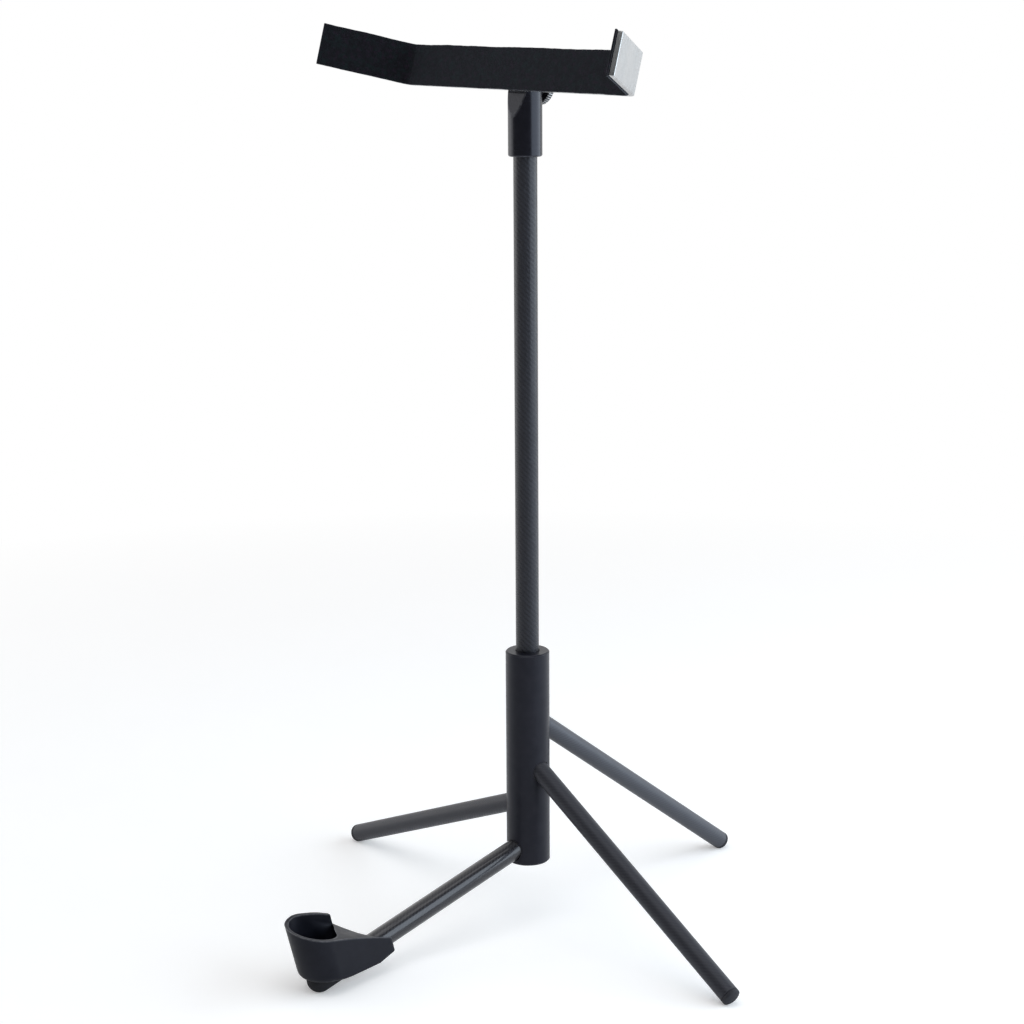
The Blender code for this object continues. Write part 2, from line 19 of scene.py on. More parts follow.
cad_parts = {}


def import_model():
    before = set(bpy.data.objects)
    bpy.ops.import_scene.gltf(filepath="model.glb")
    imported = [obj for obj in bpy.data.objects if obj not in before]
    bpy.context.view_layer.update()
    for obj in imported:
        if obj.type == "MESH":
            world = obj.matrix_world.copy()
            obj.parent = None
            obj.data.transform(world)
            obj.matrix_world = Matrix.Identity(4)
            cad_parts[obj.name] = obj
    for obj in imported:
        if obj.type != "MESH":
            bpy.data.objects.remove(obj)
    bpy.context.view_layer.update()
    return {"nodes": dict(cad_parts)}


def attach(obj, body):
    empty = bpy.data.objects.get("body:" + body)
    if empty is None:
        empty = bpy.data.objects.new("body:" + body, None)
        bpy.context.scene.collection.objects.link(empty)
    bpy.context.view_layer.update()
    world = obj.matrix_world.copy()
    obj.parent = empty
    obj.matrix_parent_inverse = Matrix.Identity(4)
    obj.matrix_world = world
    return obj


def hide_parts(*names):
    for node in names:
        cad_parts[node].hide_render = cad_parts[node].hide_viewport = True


LOG = logging.getLogger("stand")
HUB_Y = 0.00385  # the upright axis of hub, post and head crosses x = 0 here
MERGE = 2e-6  # points closer than this become one
SMALL = 1e-6  # keeps a division away from zero
SHARP = math.radians(48.0)  # faces that meet at a wider angle keep a crisp edge
BESIDE = 1.4  # a rounded corner's outer points stand this many reaches from it
BEVEL_STEPS = 4
BEVEL_ANGLE = math.radians(40.0)  # a Bevel modifier rounds edges that fold more than this
WHITE = (1.0, 1.0, 1.0)
COOL = (0.84, 0.87, 1.0)  # tint of what the black finishes reflect

Color = tuple[float, float, float]
Triple = tuple[float, float, float]
Array = np.ndarray
Material = bpy.types.Material
Socket = bpy.types.NodeSocket
Levels = list[tuple[Array | float, float]]


# Surfaces


def unit(vectors: Array) -> Array:
    """Vectors at length 1."""
    return vectors / np.linalg.norm(vectors, axis=-1, keepdims=True)


def walk(points: Array) -> Array:
    """The length walked along a line of points, from 0 at the first."""
    return np.concatenate([[0.0], np.cumsum(np.linalg.norm(np.diff(points, axis=0), axis=1))])


def polar(radius: Array | float, angle: Array, height: Array | float) -> Array:
    """Points at these distances from the z axis, in these directions and at these heights."""
    return np.stack(np.broadcast_arrays(radius * np.cos(angle), radius * np.sin(angle), height), axis=-1)


def rings(levels: Levels, angle: Array) -> Array:
    """A row of points for each radius and height, where a radius may change with the direction."""
    return np.array([polar(radius, angle, height) for radius, height in levels])


def parabola(first: Array, corner: Array, last: Array, share: Array) -> Array:
    """Points from first to last on a parabola that leaves and arrives along the lines to the corner."""
    return (1 - share) ** 2 * first + 2 * share * (1 - share) * corner + share**2 * last


@dataclass(frozen=True)
class Place:
    """Where a piece sits: an origin and three directions square to each other."""

    origin: Triple
    x_axis: Triple = (1.0, 0.0, 0.0)
    y_axis: Triple = (0.0, 1.0, 0.0)
    z_axis: Triple = (0.0, 0.0, 1.0)

    @classmethod
    def along(cls, origin: Triple, direction: Triple) -> Place:
        """A place whose z runs along a direction and whose x stays level.

        Args:
            origin: the place's own zero.
            direction: a unit direction that isn't vertical.

        Returns:
            The place, right-handed.
        """
        level = unit(np.cross((0.0, 0.0, 1.0), direction))
        return cls(origin, tuple(level), tuple(np.cross(direction, level)), tuple(direction))

    def put(self, local: Array) -> Array:
        """Local points carried into the stand's frame."""
        return np.array(self.origin) + local @ np.array([self.x_axis, self.y_axis, self.z_axis])

    def matrix(self) -> Matrix:
        """The place as a camera's or a lamp's transform."""
        turn = np.eye(4)
        turn[:3, :3] = np.stack([self.x_axis, self.y_axis, self.z_axis], axis=1)
        turn[:3, 3] = self.origin
        return Matrix(turn.tolist())


HUB = Place((0.0, HUB_Y, 0.0))
# The clamp's place: its z leaves the head's slanted face squarely, and its x runs across the stand.
CLAMP = Place((0.0, -0.002503, 0.731041), (1.0, 0.0, 0.0), (0.0, 0.275637, 0.961262), (0.0, -0.961262, 0.275637))


@dataclass
class Patch:
    """A grid of points that becomes quads, with its pattern coordinates and how much each point is an edge."""

    points: Array
    uv: Array
    edge: Array

    def put(self, place: Place) -> Patch:
        """The same patch carried to a place."""
        return Patch(place.put(self.points), self.uv, self.edge)

    def above_floor(self) -> Patch:
        """The same patch with every point below the floor lifted straight up onto it."""
        return Patch(np.maximum(self.points, (-math.inf, -math.inf, 0.0)), self.uv, self.edge)


def grid_patch(points: Array, edge: Array | None = None) -> Patch:
    """A patch whose pattern coordinates are the lengths walked along its longest row and down one column.

    Args:
        points: rows by columns by 3.
        edge: rows by columns, 1 on a rounded edge and 0 on a plain face.

    Returns:
        The patch.
    """
    longest = np.argmax(np.linalg.norm(np.diff(points, axis=1), axis=2).sum(axis=1))
    uv = np.stack(np.meshgrid(walk(points[longest]), walk(points[:, points.shape[1] // 4])), axis=-1)
    return Patch(points, uv, np.zeros(points.shape[:2]) if edge is None else edge)


def rounded(corners: Array, reach: list[float | Array], steps: int = 4) -> tuple[Array, Array]:
    """A polyline with its corners rounded, for every column at once.

    Each corner gives way to a parabola that leaves the line before it and joins the line after it at the same reach,
    or at a third of the shorter line. A point a little further out on either side keeps the faces beside it flat.

    Args:
        corners: corners by columns by coordinates.
        reach: how far each corner is cut back, one value or a column of them; the first and last stay as they are.
        steps: pieces in each parabola.

    Returns:
        The rounded rows, and how much each row is an edge.
    """
    rows, edges = [corners[0]], [0.0]
    share = np.linspace(0.0, 1.0, steps + 1)[:, None, None]
    for before, corner, after, wanted in zip(corners, corners[1:], corners[2:], reach[1:]):
        back, on = before - corner, after - corner
        far_back, far_on = (np.maximum(np.linalg.norm(line, axis=-1, keepdims=True), 1e-9) for line in (back, on))
        cut = np.minimum(wanted, np.minimum(far_back, far_on) / 3)
        back, on = back / far_back * cut, on / far_on * cut
        rows += [corner + back * BESIDE, *parabola(corner + back, corner, corner + on, share), corner + on * BESIDE]
        edges += [0.0, *(4 * share * (1 - share)).ravel(), 0.0]
    return np.array([*rows, corners[-1]]), np.array([*edges, 0.0])


def profile(corners: Levels, reach: list[float], steps: int = 4) -> tuple[Array, Array]:
    """The (radius, z) points of a profile with rounded corners, and how much each is an edge."""
    rows, edge = rounded(np.array(corners)[:, None, :], reach, steps)
    return rows[:, 0], edge


def spun(line: Array, edge: Array, segments: int, tows: float = 1.0) -> Patch:
    """A profile turned once about z.

    Args:
        line: the profile's (radius, z) points.
        edge: how much each of them is an edge.
        segments: facets round the turn.
        tows: pattern units round the turn; the same unit is used along the profile at its largest radius.

    Returns:
        The patch in its own frame.
    """
    angle = np.linspace(0.0, math.tau, segments + 1)
    points = polar(line[:, :1], angle, line[:, 1:])
    tow = math.tau * line[:, 0].max() / tows
    uv = np.stack(np.meshgrid(angle / math.tau * tows, walk(line) / tow), axis=-1)
    return Patch(points, uv, np.broadcast_to(edge[:, None], points.shape[:2]))


def turned(corners: Levels, reach: list[float], segments: int = 96, tows: float = 1.0) -> Patch:
    """A turned piece from the corners of its profile, each rounded by its own reach."""
    return spun(*profile(corners, reach), segments, tows)


def soft_least(first: Array, second: Array, width: float) -> tuple[Array, Array]:
    """The smaller of two values, with a rounded change-over of a given width.

    Args:
        first: one surface's distance.
        second: the other surface's distance.
        width: how wide the change-over is, in metres.

    Returns:
        The distance, and how much each point lies in the change-over.
    """
    share = np.clip(0.5 + 0.5 * (second - first) / width, 0.0, 1.0)
    return second + (first - second) * share - width * share * (1 - share), 4 * share * (1 - share)


def quad_mesh(name: str, patches: list[Patch]) -> bpy.types.Mesh:
    """One closed mesh from several patches, welded where they meet.

    Args:
        name: the mesh's name.
        patches: grids in the stand's frame whose borders share their points.

    Returns:
        The mesh, faces outwards, with the UV map "skin" and the point attribute "edge".
    """
    quads, start = [], 0
    for patch in patches:
        rows, columns = patch.points.shape[:2]
        index = np.arange(rows * columns).reshape(rows, columns) + start
        quads.append(np.stack([index[:-1, :-1], index[:-1, 1:], index[1:, 1:], index[1:, :-1]], axis=-1).reshape(-1, 4))
        start += rows * columns
    corners = np.concatenate(quads).ravel()
    points = np.concatenate([patch.points.reshape(-1, 3) for patch in patches])
    uv = np.concatenate([patch.uv.reshape(-1, 2) for patch in patches])
    edge = np.concatenate([np.asarray(patch.edge).ravel() for patch in patches])
    mesh = bpy.data.meshes.new(name)
    mesh.vertices.add(len(points))
    mesh.vertices.foreach_set("co", points.astype(np.float32).ravel())
    mesh.loops.add(len(corners))
    mesh.loops.foreach_set("vertex_index", corners.astype(np.int32))
    mesh.polygons.add(len(corners) // 4)
    mesh.polygons.foreach_set("loop_start", np.arange(0, len(corners), 4, dtype=np.int32))
    mesh.update(calc_edges=True)
    mesh.uv_layers.new(name="skin").data.foreach_set("uv", uv[corners].astype(np.float32).ravel())
    mesh.attributes.new("edge", "FLOAT", "POINT").data.foreach_set("value", edge.astype(np.float32))
    weld = bmesh.new()
    weld.from_mesh(mesh)
    bmesh.ops.remove_doubles(weld, verts=weld.verts, dist=MERGE)
    bmesh.ops.recalc_face_normals(weld, faces=weld.faces)
    open_edges = sum(not edge.is_manifold for edge in weld.edges)
    weld.to_mesh(mesh)
    weld.free()
    if open_edges:
        LOG.warning("%s has %d open edges", name, open_edges)
    mesh.shade_smooth()
    mesh.set_sharp_from_angle(angle=SHARP)
    return mesh


# Finishes


class Graph:
    """The node tree of a material or of the world, with short ways to add to it."""

    def __init__(self, owner: Material | bpy.types.World) -> None:
        """Opens the owner's tree with the nodes that it starts with."""
        owner.use_nodes = True
        self.owner = owner
        self.tree = owner.node_tree

    def add(self, kind: str, inputs: dict[str | int, object] | None = None, **settings: object) -> bpy.types.Node:
        """Adds a node.

        Args:
            kind: the node's type name without its ShaderNode prefix.
            inputs: values or sockets for its inputs, by name or number.
            settings: the node's own properties.

        Returns:
            The node.
        """
        node = self.tree.nodes.new(f"ShaderNode{kind}")
        for name, value in settings.items():
            setattr(node, name, value)
        for name, value in (inputs or {}).items():
            self.feed(node.inputs[name], value)
        return node

    def feed(self, target: Socket, value: object) -> None:
        """Links a socket into an input, or sets the input's own value, and leaves it alone for None."""
        if isinstance(value, bpy.types.NodeSocket):
            self.tree.links.new(value, target)
        elif value is not None:
            target.default_value = (*value, 1.0) if target.type == "RGBA" else value

    def math(self, operation: str, *values: float | Socket) -> Socket:
        """The result of one Math node."""
        return self.add("Math", dict(enumerate(values)), operation=operation).outputs[0]

    def plus(self, first: float | Socket, second: float | Socket) -> Socket:
        """The sum of two values."""
        return self.math("ADD", first, second)

    def times(self, first: float | Socket, second: float | Socket) -> Socket:
        """The product of two values."""
        return self.math("MULTIPLY", first, second)

    def dot(self, vector: Socket, axis: Triple) -> Socket:
        """How far a vector reaches along an axis."""
        return self.add("VectorMath", {0: vector, 1: axis}, operation="DOT_PRODUCT").outputs["Value"]

    def mapped(self, vector: Socket, **settings: Triple) -> Socket:
        """Coordinates moved by a Location or stretched by a Scale."""
        return self.add("Mapping", {"Vector": vector, **settings}).outputs[0]

    def position(self) -> Socket:
        """Object coordinates, which are the stand's own."""
        return self.add("TexCoord").outputs["Object"]

    def skin(self) -> Socket:
        """The piece's pattern coordinates."""
        return self.add("UVMap", uv_map="skin").outputs[0]

    def parts(self, vector: Socket) -> list[Socket]:
        """A vector's three numbers."""
        return list(self.add("SeparateXYZ", {0: vector}).outputs)

    def radial(self, place: Socket) -> tuple[Socket, Socket]:
        """Distance from the z axis, and height."""
        x, y, z = self.parts(place)
        return self.math("SQRT", self.plus(self.times(x, x), self.times(y, y))), z

    def noise(self, vector: Socket, scale: float, detail: float = 2.0, rough: float = 0.5) -> Socket:
        """Noise from 0 to 1 with this many cells to the metre."""
        inputs = {"Vector": vector, "Scale": scale, "Detail": detail, "Roughness": rough}
        return self.add("TexNoise", inputs).outputs["Fac"]

    def line_noise(self, along: Socket, scale: float, detail: float = 3.0) -> Socket:
        """Noise along one line, as a tool's marks have."""
        inputs = {"W": along, "Scale": scale, "Detail": detail}
        return self.add("TexNoise", inputs, noise_dimensions="1D").outputs["Fac"]

    def span(self, value: Socket, low: float, high: float, out_low: float = 0.0, out_high: float = 1.0) -> Socket:
        """A value stretched from one range to another and held there."""
        return self.add("MapRange", {0: value, 1: low, 2: high, 3: out_low, 4: out_high}).outputs[0]

    def mix(self, share: Socket, first: float | Socket, second: float | Socket) -> Socket:
        """A value between two values."""
        return self.add("Mix", {0: share, 2: first, 3: second}, data_type="FLOAT").outputs[0]

    def blend(self, share: Socket, first: Color | Socket, second: Color | Socket) -> Socket:
        """A colour between two colours."""
        return self.add("Mix", {0: share, 6: first, 7: second}, data_type="RGBA").outputs[2]

    def edge(self) -> Socket:
        """How much the piece's mesh is an edge here."""
        return self.add("Attribute", attribute_name="edge").outputs["Fac"]

    def rays(self) -> tuple[Socket, Socket]:
        """Whether a ray comes from the camera, and whether it is a mirror's or a glass's."""
        path = self.add("LightPath").outputs
        return path["Is Camera Ray"], self.math("MAXIMUM", path["Is Glossy Ray"], path["Is Transmission Ray"])

    def white(self, strength: float | Socket) -> Socket:
        """White light of this strength."""
        return self.add("Emission", {"Color": WHITE, "Strength": strength}).outputs[0]

    def relief(self, *layers: tuple[Socket, float]) -> Socket:
        """A bumped normal; each layer is a height and its depth in metres, on top of the layer before."""
        normal = None
        for height, depth in layers:
            inputs = {"Height": height, "Distance": depth, "Strength": 1.0, "Normal": normal}
            normal = self.add("Bump", inputs).outputs[0]
        return normal

    def dress(self, **inputs: object) -> Material:
        """Sets the Principled shader's inputs, named with _ for each space, and returns the material."""
        for name, value in inputs.items():
            self.feed(self.tree.nodes["Principled BSDF"].inputs[name.replace("_", " ")], value)
        return self.owner


@dataclass(frozen=True)
class Finish:
    """A named finish; each kind makes its own material."""

    name: str

    def graph(self) -> Graph:
        """The tree of a new material of this name."""
        return Graph(bpy.data.materials.new(self.name))

    def material(self) -> Material:
        """The finish as a material."""
        raise NotImplementedError


@dataclass(frozen=True)
class TurnedPlastic(Finish):
    """Satin black plastic off a lathe: fine tool lines round the axis, and paler edges that are partly handling wear
    and partly painted highlight.
    """

    roughness: float = 0.33
    specular: float = 0.3
    color: Color = (0.0050, 0.0052, 0.0095)
    pale: Color = (0.0092, 0.0094, 0.0145)
    worn_and_lit: Color = (0.075, 0.076, 0.088)

    def material(self) -> Material:
        """Tool lines are noise along height plus radius, so they are rings on faces and on sides."""
        graph = self.graph()
        place = graph.position()
        along = graph.plus(*graph.radial(graph.mapped(place, Location=(0.0, -HUB_Y, 0.0))))
        lines, bands = graph.line_noise(along, 5200.0, 2.0), graph.line_noise(along, 420.0)
        cloud, grain = graph.noise(place, 95.0, 4.0), graph.noise(place, 3200.0, 2.0)
        # Edges, broken up by noise, are painted pale grey: partly wear, partly a painted highlight along the rims.
        rubbed_and_lit = graph.times(graph.edge(), graph.span(graph.noise(place, 260.0), 0.3, 0.65))
        body = graph.blend(graph.span(cloud, 0.35, 0.7), self.color, self.pale)
        rough = graph.plus(graph.span(bands, 0.2, 0.8, -0.05, 0.05), graph.span(cloud, 0.3, 0.7, 0.0, 0.05))
        return graph.dress(
            Base_Color=graph.blend(rubbed_and_lit, body, self.worn_and_lit),
            Roughness=graph.plus(rough, self.roughness),
            Normal=graph.relief((lines, 0.000006), (grain, 0.000010)),
            Specular_IOR_Level=self.specular,
            Specular_Tint=COOL,
        )


class Gloss(Enum):
    """How a carbon tube is finished: its roughness, and its clear coat's weight and roughness."""

    POLISHED = (0.30, 0.8, 0.06)
    LACQUERED = (0.30, 0.3, 0.16)
    SATIN = (0.38, 0.1, 0.34)


@dataclass(frozen=True)
class WovenCarbon(Finish):
    """A two-by-two twill of carbon tows in dark resin, in pattern units of one tow."""

    gloss: Gloss
    warp: Color = (0.017, 0.019, 0.026)
    weft: Color = (0.0035, 0.0036, 0.006)
    depth: float = 0.00022

    def material(self) -> Material:
        """A tow lies on top where its column plus its row, counted in fours, is below two."""
        graph = self.graph()
        skin = graph.skin()
        across, along, _ = graph.parts(skin)
        cell = graph.plus(graph.math("FLOOR", across), graph.math("FLOOR", along))
        over = graph.math("LESS_THAN", graph.math("FLOORED_MODULO", cell, 4.0), 1.5)
        crown = graph.mix(over, self.crown(graph, along), self.crown(graph, across))
        fibres = [graph.noise(graph.mapped(skin, Scale=way), 1.0, 3.0) for way in ((0.5, 9.0, 1.0), (9.0, 0.5, 1.0))]
        fibre = graph.mix(over, *fibres)
        cloud = graph.span(graph.noise(graph.position(), 60.0, 3.0), 0.3, 0.7, 0.8, 1.1)
        lift = graph.times(graph.span(fibre, 0.3, 0.75, 0.45, 1.0), graph.span(crown, 0.0, 0.9, 0.35, 1.0))
        share = graph.times(lift, graph.plus(graph.times(over, 0.75), 0.25))
        rough, coat, coat_rough = self.gloss.value
        shine = graph.plus(graph.span(fibre, 0.3, 0.7, -0.06, 0.06), rough)
        return graph.dress(
            Base_Color=graph.blend(graph.times(share, cloud), self.weft, self.warp),
            Roughness=graph.plus(shine, graph.times(over, 0.12)),
            Normal=graph.relief((crown, self.depth), (fibre, self.depth * 0.3)),
            Specular_IOR_Level=0.36,
            Specular_Tint=COOL,
            Coat_Weight=coat,
            Coat_Roughness=coat_rough,
        )

    @staticmethod
    def crown(graph: Graph, value: Socket) -> Socket:
        """The rounded height of a tow across its width: one minus the square of the distance from its middle."""
        off = graph.math("SUBTRACT", graph.times(graph.math("FRACT", value), 2.0), 1.0)
        return graph.math("SUBTRACT", 1.0, graph.times(off, off))


@dataclass(frozen=True)
class SatinAluminium(Finish):
    """Pale anodised bar stock: fine lines along its length, soft blotches, sawn and rubbed ends."""

    name: str = "satin_aluminium"
    color: Color = (0.50, 0.512, 0.52)
    dull: Color = (0.41, 0.42, 0.425)
    roughness: float = 0.36

    def material(self) -> Material:
        """The lines are noise that hardly changes along the strip and changes quickly across it."""
        graph = self.graph()
        place = graph.position()
        lines = graph.noise(graph.mapped(graph.skin(), Scale=(5200.0, 60.0, 1.0)), 1.0, 3.0)
        cloud, grain = graph.noise(place, 45.0, 4.0, 0.6), graph.noise(place, 2600.0, 2.0)
        color = graph.blend(graph.span(cloud, 0.35, 0.75), self.color, self.dull)
        rough = graph.plus(graph.span(cloud, 0.3, 0.7, -0.04, 0.06), self.roughness)
        return graph.dress(
            Base_Color=graph.blend(graph.span(lines, 0.5, 0.8, 0.0, 0.2), color, self.dull),
            Metallic=1.0,
            Roughness=graph.plus(rough, graph.span(graph.edge(), 0.0, 1.0, 0.0, -0.08)),
            Normal=graph.relief((lines, 0.000004), (grain, 0.000008)),
        )


@dataclass(frozen=True)
class PressedFelt(Finish):
    """Black wool felt: matted fibres, a faint green and violet cast, lint near its cut edges."""

    name: str = "black_felt"
    color: Color = (0.0055, 0.0058, 0.0085)
    green: Color = (0.006, 0.011, 0.013)
    violet: Color = (0.012, 0.008, 0.015)
    lint: Color = (0.05, 0.05, 0.058)
    sheen: Color = (0.55, 0.62, 0.75)

    def material(self) -> Material:
        """Two coarse noises tint it, a fine one lifts single fibres."""
        graph = self.graph()
        place = graph.position()
        cast = graph.noise(place, 190.0, 3.0, 0.6)
        other = graph.noise(graph.mapped(place, Location=(-0.3, -0.1, -0.2)), 260.0, 3.0, 0.6)
        fibres, matting = graph.noise(place, 3400.0, 4.0, 0.7), graph.noise(place, 900.0, 3.0, 0.6)
        color = graph.blend(graph.span(cast, 0.45, 0.65), self.color, self.green)
        color = graph.blend(graph.span(other, 0.5, 0.68), color, self.violet)
        loose = graph.times(graph.span(fibres, 0.58, 0.75), graph.span(matting, 0.4, 0.7, 0.15, 0.6))
        return graph.dress(
            Base_Color=graph.blend(graph.plus(loose, graph.times(graph.edge(), 0.4)), color, self.lint),
            Roughness=0.96,
            Normal=graph.relief((matting, 0.00025), (fibres, 0.00012)),
            Specular_IOR_Level=0.15,
            Sheen_Weight=0.22,
            Sheen_Roughness=0.45,
            Sheen_Tint=self.sheen,
        )


@dataclass(frozen=True)
class BlackAnodised(Finish):
    """Black anodised metal whose knurl tips turn to bright metal: a painted glint on the black ridges, with some wear
    at the edges.
    """

    name: str = "black_anodised_knurl"
    color: Color = (0.011, 0.011, 0.014)
    glint_metal: Color = (0.78, 0.78, 0.79)

    def material(self) -> Material:
        """The edge attribute, broken up by noise, turns the black coat into bright metal, which paints the knurl's
        glints.
        """
        graph = self.graph()
        place = graph.position()
        wear_and_highlight = graph.span(graph.noise(place, 900.0, 3.0), 0.25, 0.5)
        glint_metal = graph.times(graph.span(graph.edge(), 0.4, 0.85), wear_and_highlight)
        grain = graph.noise(place, 3800.0, 2.0)
        return graph.dress(
            Base_Color=graph.blend(glint_metal, self.color, self.glint_metal),
            Metallic=glint_metal,
            Roughness=graph.span(grain, 0.3, 0.7, 0.2, 0.32),
            Normal=graph.relief((grain, 0.000008)),
            Specular_IOR_Level=0.6,
        )


@dataclass(frozen=True)
class TurnedSteel(Finish):
    """Bright turned metal with rings about the clamp's axis and a trace of grime."""

    color: Color = (0.56, 0.56, 0.57)
    grime: Color = (0.18, 0.17, 0.16)

    def material(self) -> Material:
        """Rings are noise along the piece's profile."""
        graph = self.graph()
        lines = graph.line_noise(graph.parts(graph.skin())[1], 60.0)
        cloud = graph.noise(graph.position(), 420.0, 3.0)
        return graph.dress(
            Base_Color=graph.blend(graph.span(cloud, 0.5, 0.75, 0.0, 0.5), self.color, self.grime),
            Metallic=1.0,
            Roughness=graph.span(lines, 0.2, 0.8, 0.2, 0.34),
            Normal=graph.relief((lines, 0.000006)),
        )


@dataclass(frozen=True)
class MouldedPlastic(Finish):
    """Black moulded plastic with a fine spark-eroded grain and paler rims, partly wear and partly painted highlight."""

    name: str = "moulded_black_plastic"
    color: Color = (0.0042, 0.0046, 0.0082)
    pale: Color = (0.0075, 0.0082, 0.0128)
    worn_and_lit: Color = (0.095, 0.096, 0.106)

    def material(self) -> Material:
        """Cell noise makes the grain, slow noise the flow marks."""
        graph = self.graph()
        place = graph.position()
        grain = graph.add("TexVoronoi", {"Vector": place, "Scale": 1500.0}).outputs["Distance"]
        flow = graph.noise(place, 70.0, 4.0, 0.6)
        color = graph.blend(graph.span(flow, 0.35, 0.7), self.color, self.pale)
        # Rims, broken up by noise, are painted pale grey: partly wear, partly a painted highlight.
        rubbed_and_lit = graph.times(graph.edge(), graph.span(graph.noise(place, 320.0, 3.0), 0.25, 0.6, 0.25, 1.0))
        return graph.dress(
            Base_Color=graph.blend(rubbed_and_lit, color, self.worn_and_lit),
            Roughness=graph.span(flow, 0.3, 0.7, 0.36, 0.46),
            Normal=graph.relief((grain, 0.000016)),
            Specular_IOR_Level=0.22,
            Specular_Tint=COOL,
        )


@dataclass(frozen=True)
class DullRubber(Finish):
    """Black rubber with moulding grain and dust in its hollows."""

    color: Color = (0.0075, 0.0078, 0.0112)
    dust: Color = (0.030, 0.030, 0.033)

    def material(self) -> Material:
        """Dust gathers where the slow noise is high."""
        graph = self.graph()
        place = graph.position()
        fine, slow = graph.noise(place, 2400.0, 3.0), graph.noise(place, 130.0, 4.0, 0.65)
        return graph.dress(
            Base_Color=graph.blend(graph.times(graph.span(slow, 0.5, 0.8), 0.6), self.color, self.dust),
            Roughness=graph.span(slow, 0.3, 0.7, 0.55, 0.75),
            Normal=graph.relief((fine, 0.00003)),
            Specular_IOR_Level=0.3,
        )


@dataclass(frozen=True)
class PaleFloor(Finish):
    """A pale floor that runs into the white behind it; it keeps the shadows of what stands on it."""

    name: str = "pale_floor"
    color: Color = (0.93, 0.93, 0.935)
    dim: float = 0.985
    lift: float = 0.25
    near: float = 0.55
    far: float = 1.6
    mirror_from: float = -0.1
    mirror_full: float = 0.4
    behind: Triple = (-0.748, 0.664, 0.0)

    def material(self) -> Material:
        """Camera rays see more white the further from the stand they land, mirror rays the further behind it."""
        graph = self.graph()
        place = graph.position()
        camera, mirror = graph.rays()
        away = graph.span(graph.radial(place)[0], self.near, self.far)
        back = graph.dot(place, self.behind)
        tone = graph.span(graph.noise(place, 9.0, 3.0), 0.3, 0.7)
        color = graph.blend(tone, self.color, tuple(value * self.dim for value in self.color))
        graph.dress(Base_Color=color, Roughness=0.9, Specular_IOR_Level=0.1)
        seen = graph.times(mirror, graph.span(back, self.mirror_from, self.mirror_full))
        seen = graph.math("MAXIMUM", seen, camera)
        plain = graph.tree.nodes["Principled BSDF"].outputs[0]
        near = graph.add("AddShader", {0: plain, 1: graph.white(graph.times(seen, self.lift))}).outputs[0]
        mirrored = graph.times(mirror, graph.span(back, self.near, self.far))
        share = graph.math("MAXIMUM", mirrored, graph.times(away, camera))
        mixed = graph.add("MixShader", {0: share, 1: near, 2: graph.white(1.0)}).outputs[0]
        graph.feed(graph.tree.nodes["Material Output"].inputs["Surface"], mixed)
        return graph.owner


# Pieces


def placed(name: str, data: bpy.types.ID) -> bpy.types.Object:
    """A new object in the scene that shows this data."""
    holder = bpy.data.objects.new(name, data)
    bpy.context.scene.collection.objects.link(holder)
    return holder


def show(
    name: str, patches: list[Patch], finish: Material, body: str, node: str, bevel: float = 0.0
) -> bpy.types.Object:
    """Makes a piece, gives it its finish and hands it to the frame.

    Args:
        name: the piece's name.
        patches: its surface in the stand's frame.
        finish: its material.
        body: the body that it rides on.
        node: the CAD node that it stands for.
        bevel: how far its sharp edges are rounded by a Bevel modifier, if at all.

    Returns:
        The object.
    """
    mesh = quad_mesh(name, patches)
    mesh.materials.append(finish)
    piece = placed(name, mesh)
    if bevel:
        soft = piece.modifiers.new("soft_edges", "BEVEL")
        soft.width, soft.segments, soft.limit_method = bevel, BEVEL_STEPS, "ANGLE"
        soft.angle_limit, soft.harden_normals, soft.miter_outer = BEVEL_ANGLE, False, "MITER_ARC"
    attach(piece, body)
    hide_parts(node)
    LOG.info("%s: %d faces", name, len(mesh.polygons))
    return piece


def made(finish: Finish) -> Material:
    """A field that holds the finish's material, made when the finishes are."""
    return field(default_factory=finish.material)


@dataclass(frozen=True)
class Finishes:
    """Every finish of the stand, made once and shared."""

    column: Material = made(TurnedPlastic("turned_column_plastic"))
    head: Material = made(
        TurnedPlastic("turned_head_plastic", 0.2, 0.36, (0.0028, 0.0029, 0.0058), (0.0055, 0.0056, 0.0092))
    )
    post: Material = made(WovenCarbon("post_carbon", Gloss.LACQUERED))
    arm: Material = made(
        WovenCarbon("arm_carbon", Gloss.POLISHED, (0.026, 0.024, 0.026), (0.007, 0.0068, 0.0085), 0.00003)
    )
    leg: Material = made(
        WovenCarbon("leg_carbon", Gloss.SATIN, (0.036, 0.037, 0.044), (0.019, 0.0195, 0.025), 0.00003)
    )
    # A paler copy of the leg carbon for the rear leg: painted light, standing in for the light that falls on it from
    # behind and to the right.
    lit_rear_leg: Material = made(
        WovenCarbon("faded_leg_carbon", Gloss.SATIN, (0.072, 0.077, 0.090), (0.045, 0.048, 0.058), 0.00003)
    )
    aluminium: Material = made(SatinAluminium())
    felt: Material = made(PressedFelt())
    knurl: Material = made(BlackAnodised())
    steel: Material = made(TurnedSteel("turned_steel"))
    washer: Material = made(TurnedSteel("washer_metal", (0.6, 0.6, 0.61)))
    moulded: Material = made(MouldedPlastic())
    rubber: Material = made(DullRubber("black_rubber"))
    foot: Material = made(DullRubber("worn_rubber", (0.020, 0.021, 0.028), (0.055, 0.056, 0.062)))


@dataclass(frozen=True)
class Arm:
    """A tube's place in the hub: where its axis starts, which way it runs, and its length to its outer end."""

    start: Triple
    direction: Triple
    length: float
    radius: float

    @property
    def place(self) -> Place:
        """The arm's own frame, with z along it."""
        return Place.along(self.start, self.direction)

    @property
    def turn(self) -> float:
        """The arm's heading, seen from above."""
        return math.atan2(self.direction[1], self.direction[0])

    @property
    def tilt(self) -> float:
        """How far the arm drops below level."""
        return -math.asin(self.direction[2])


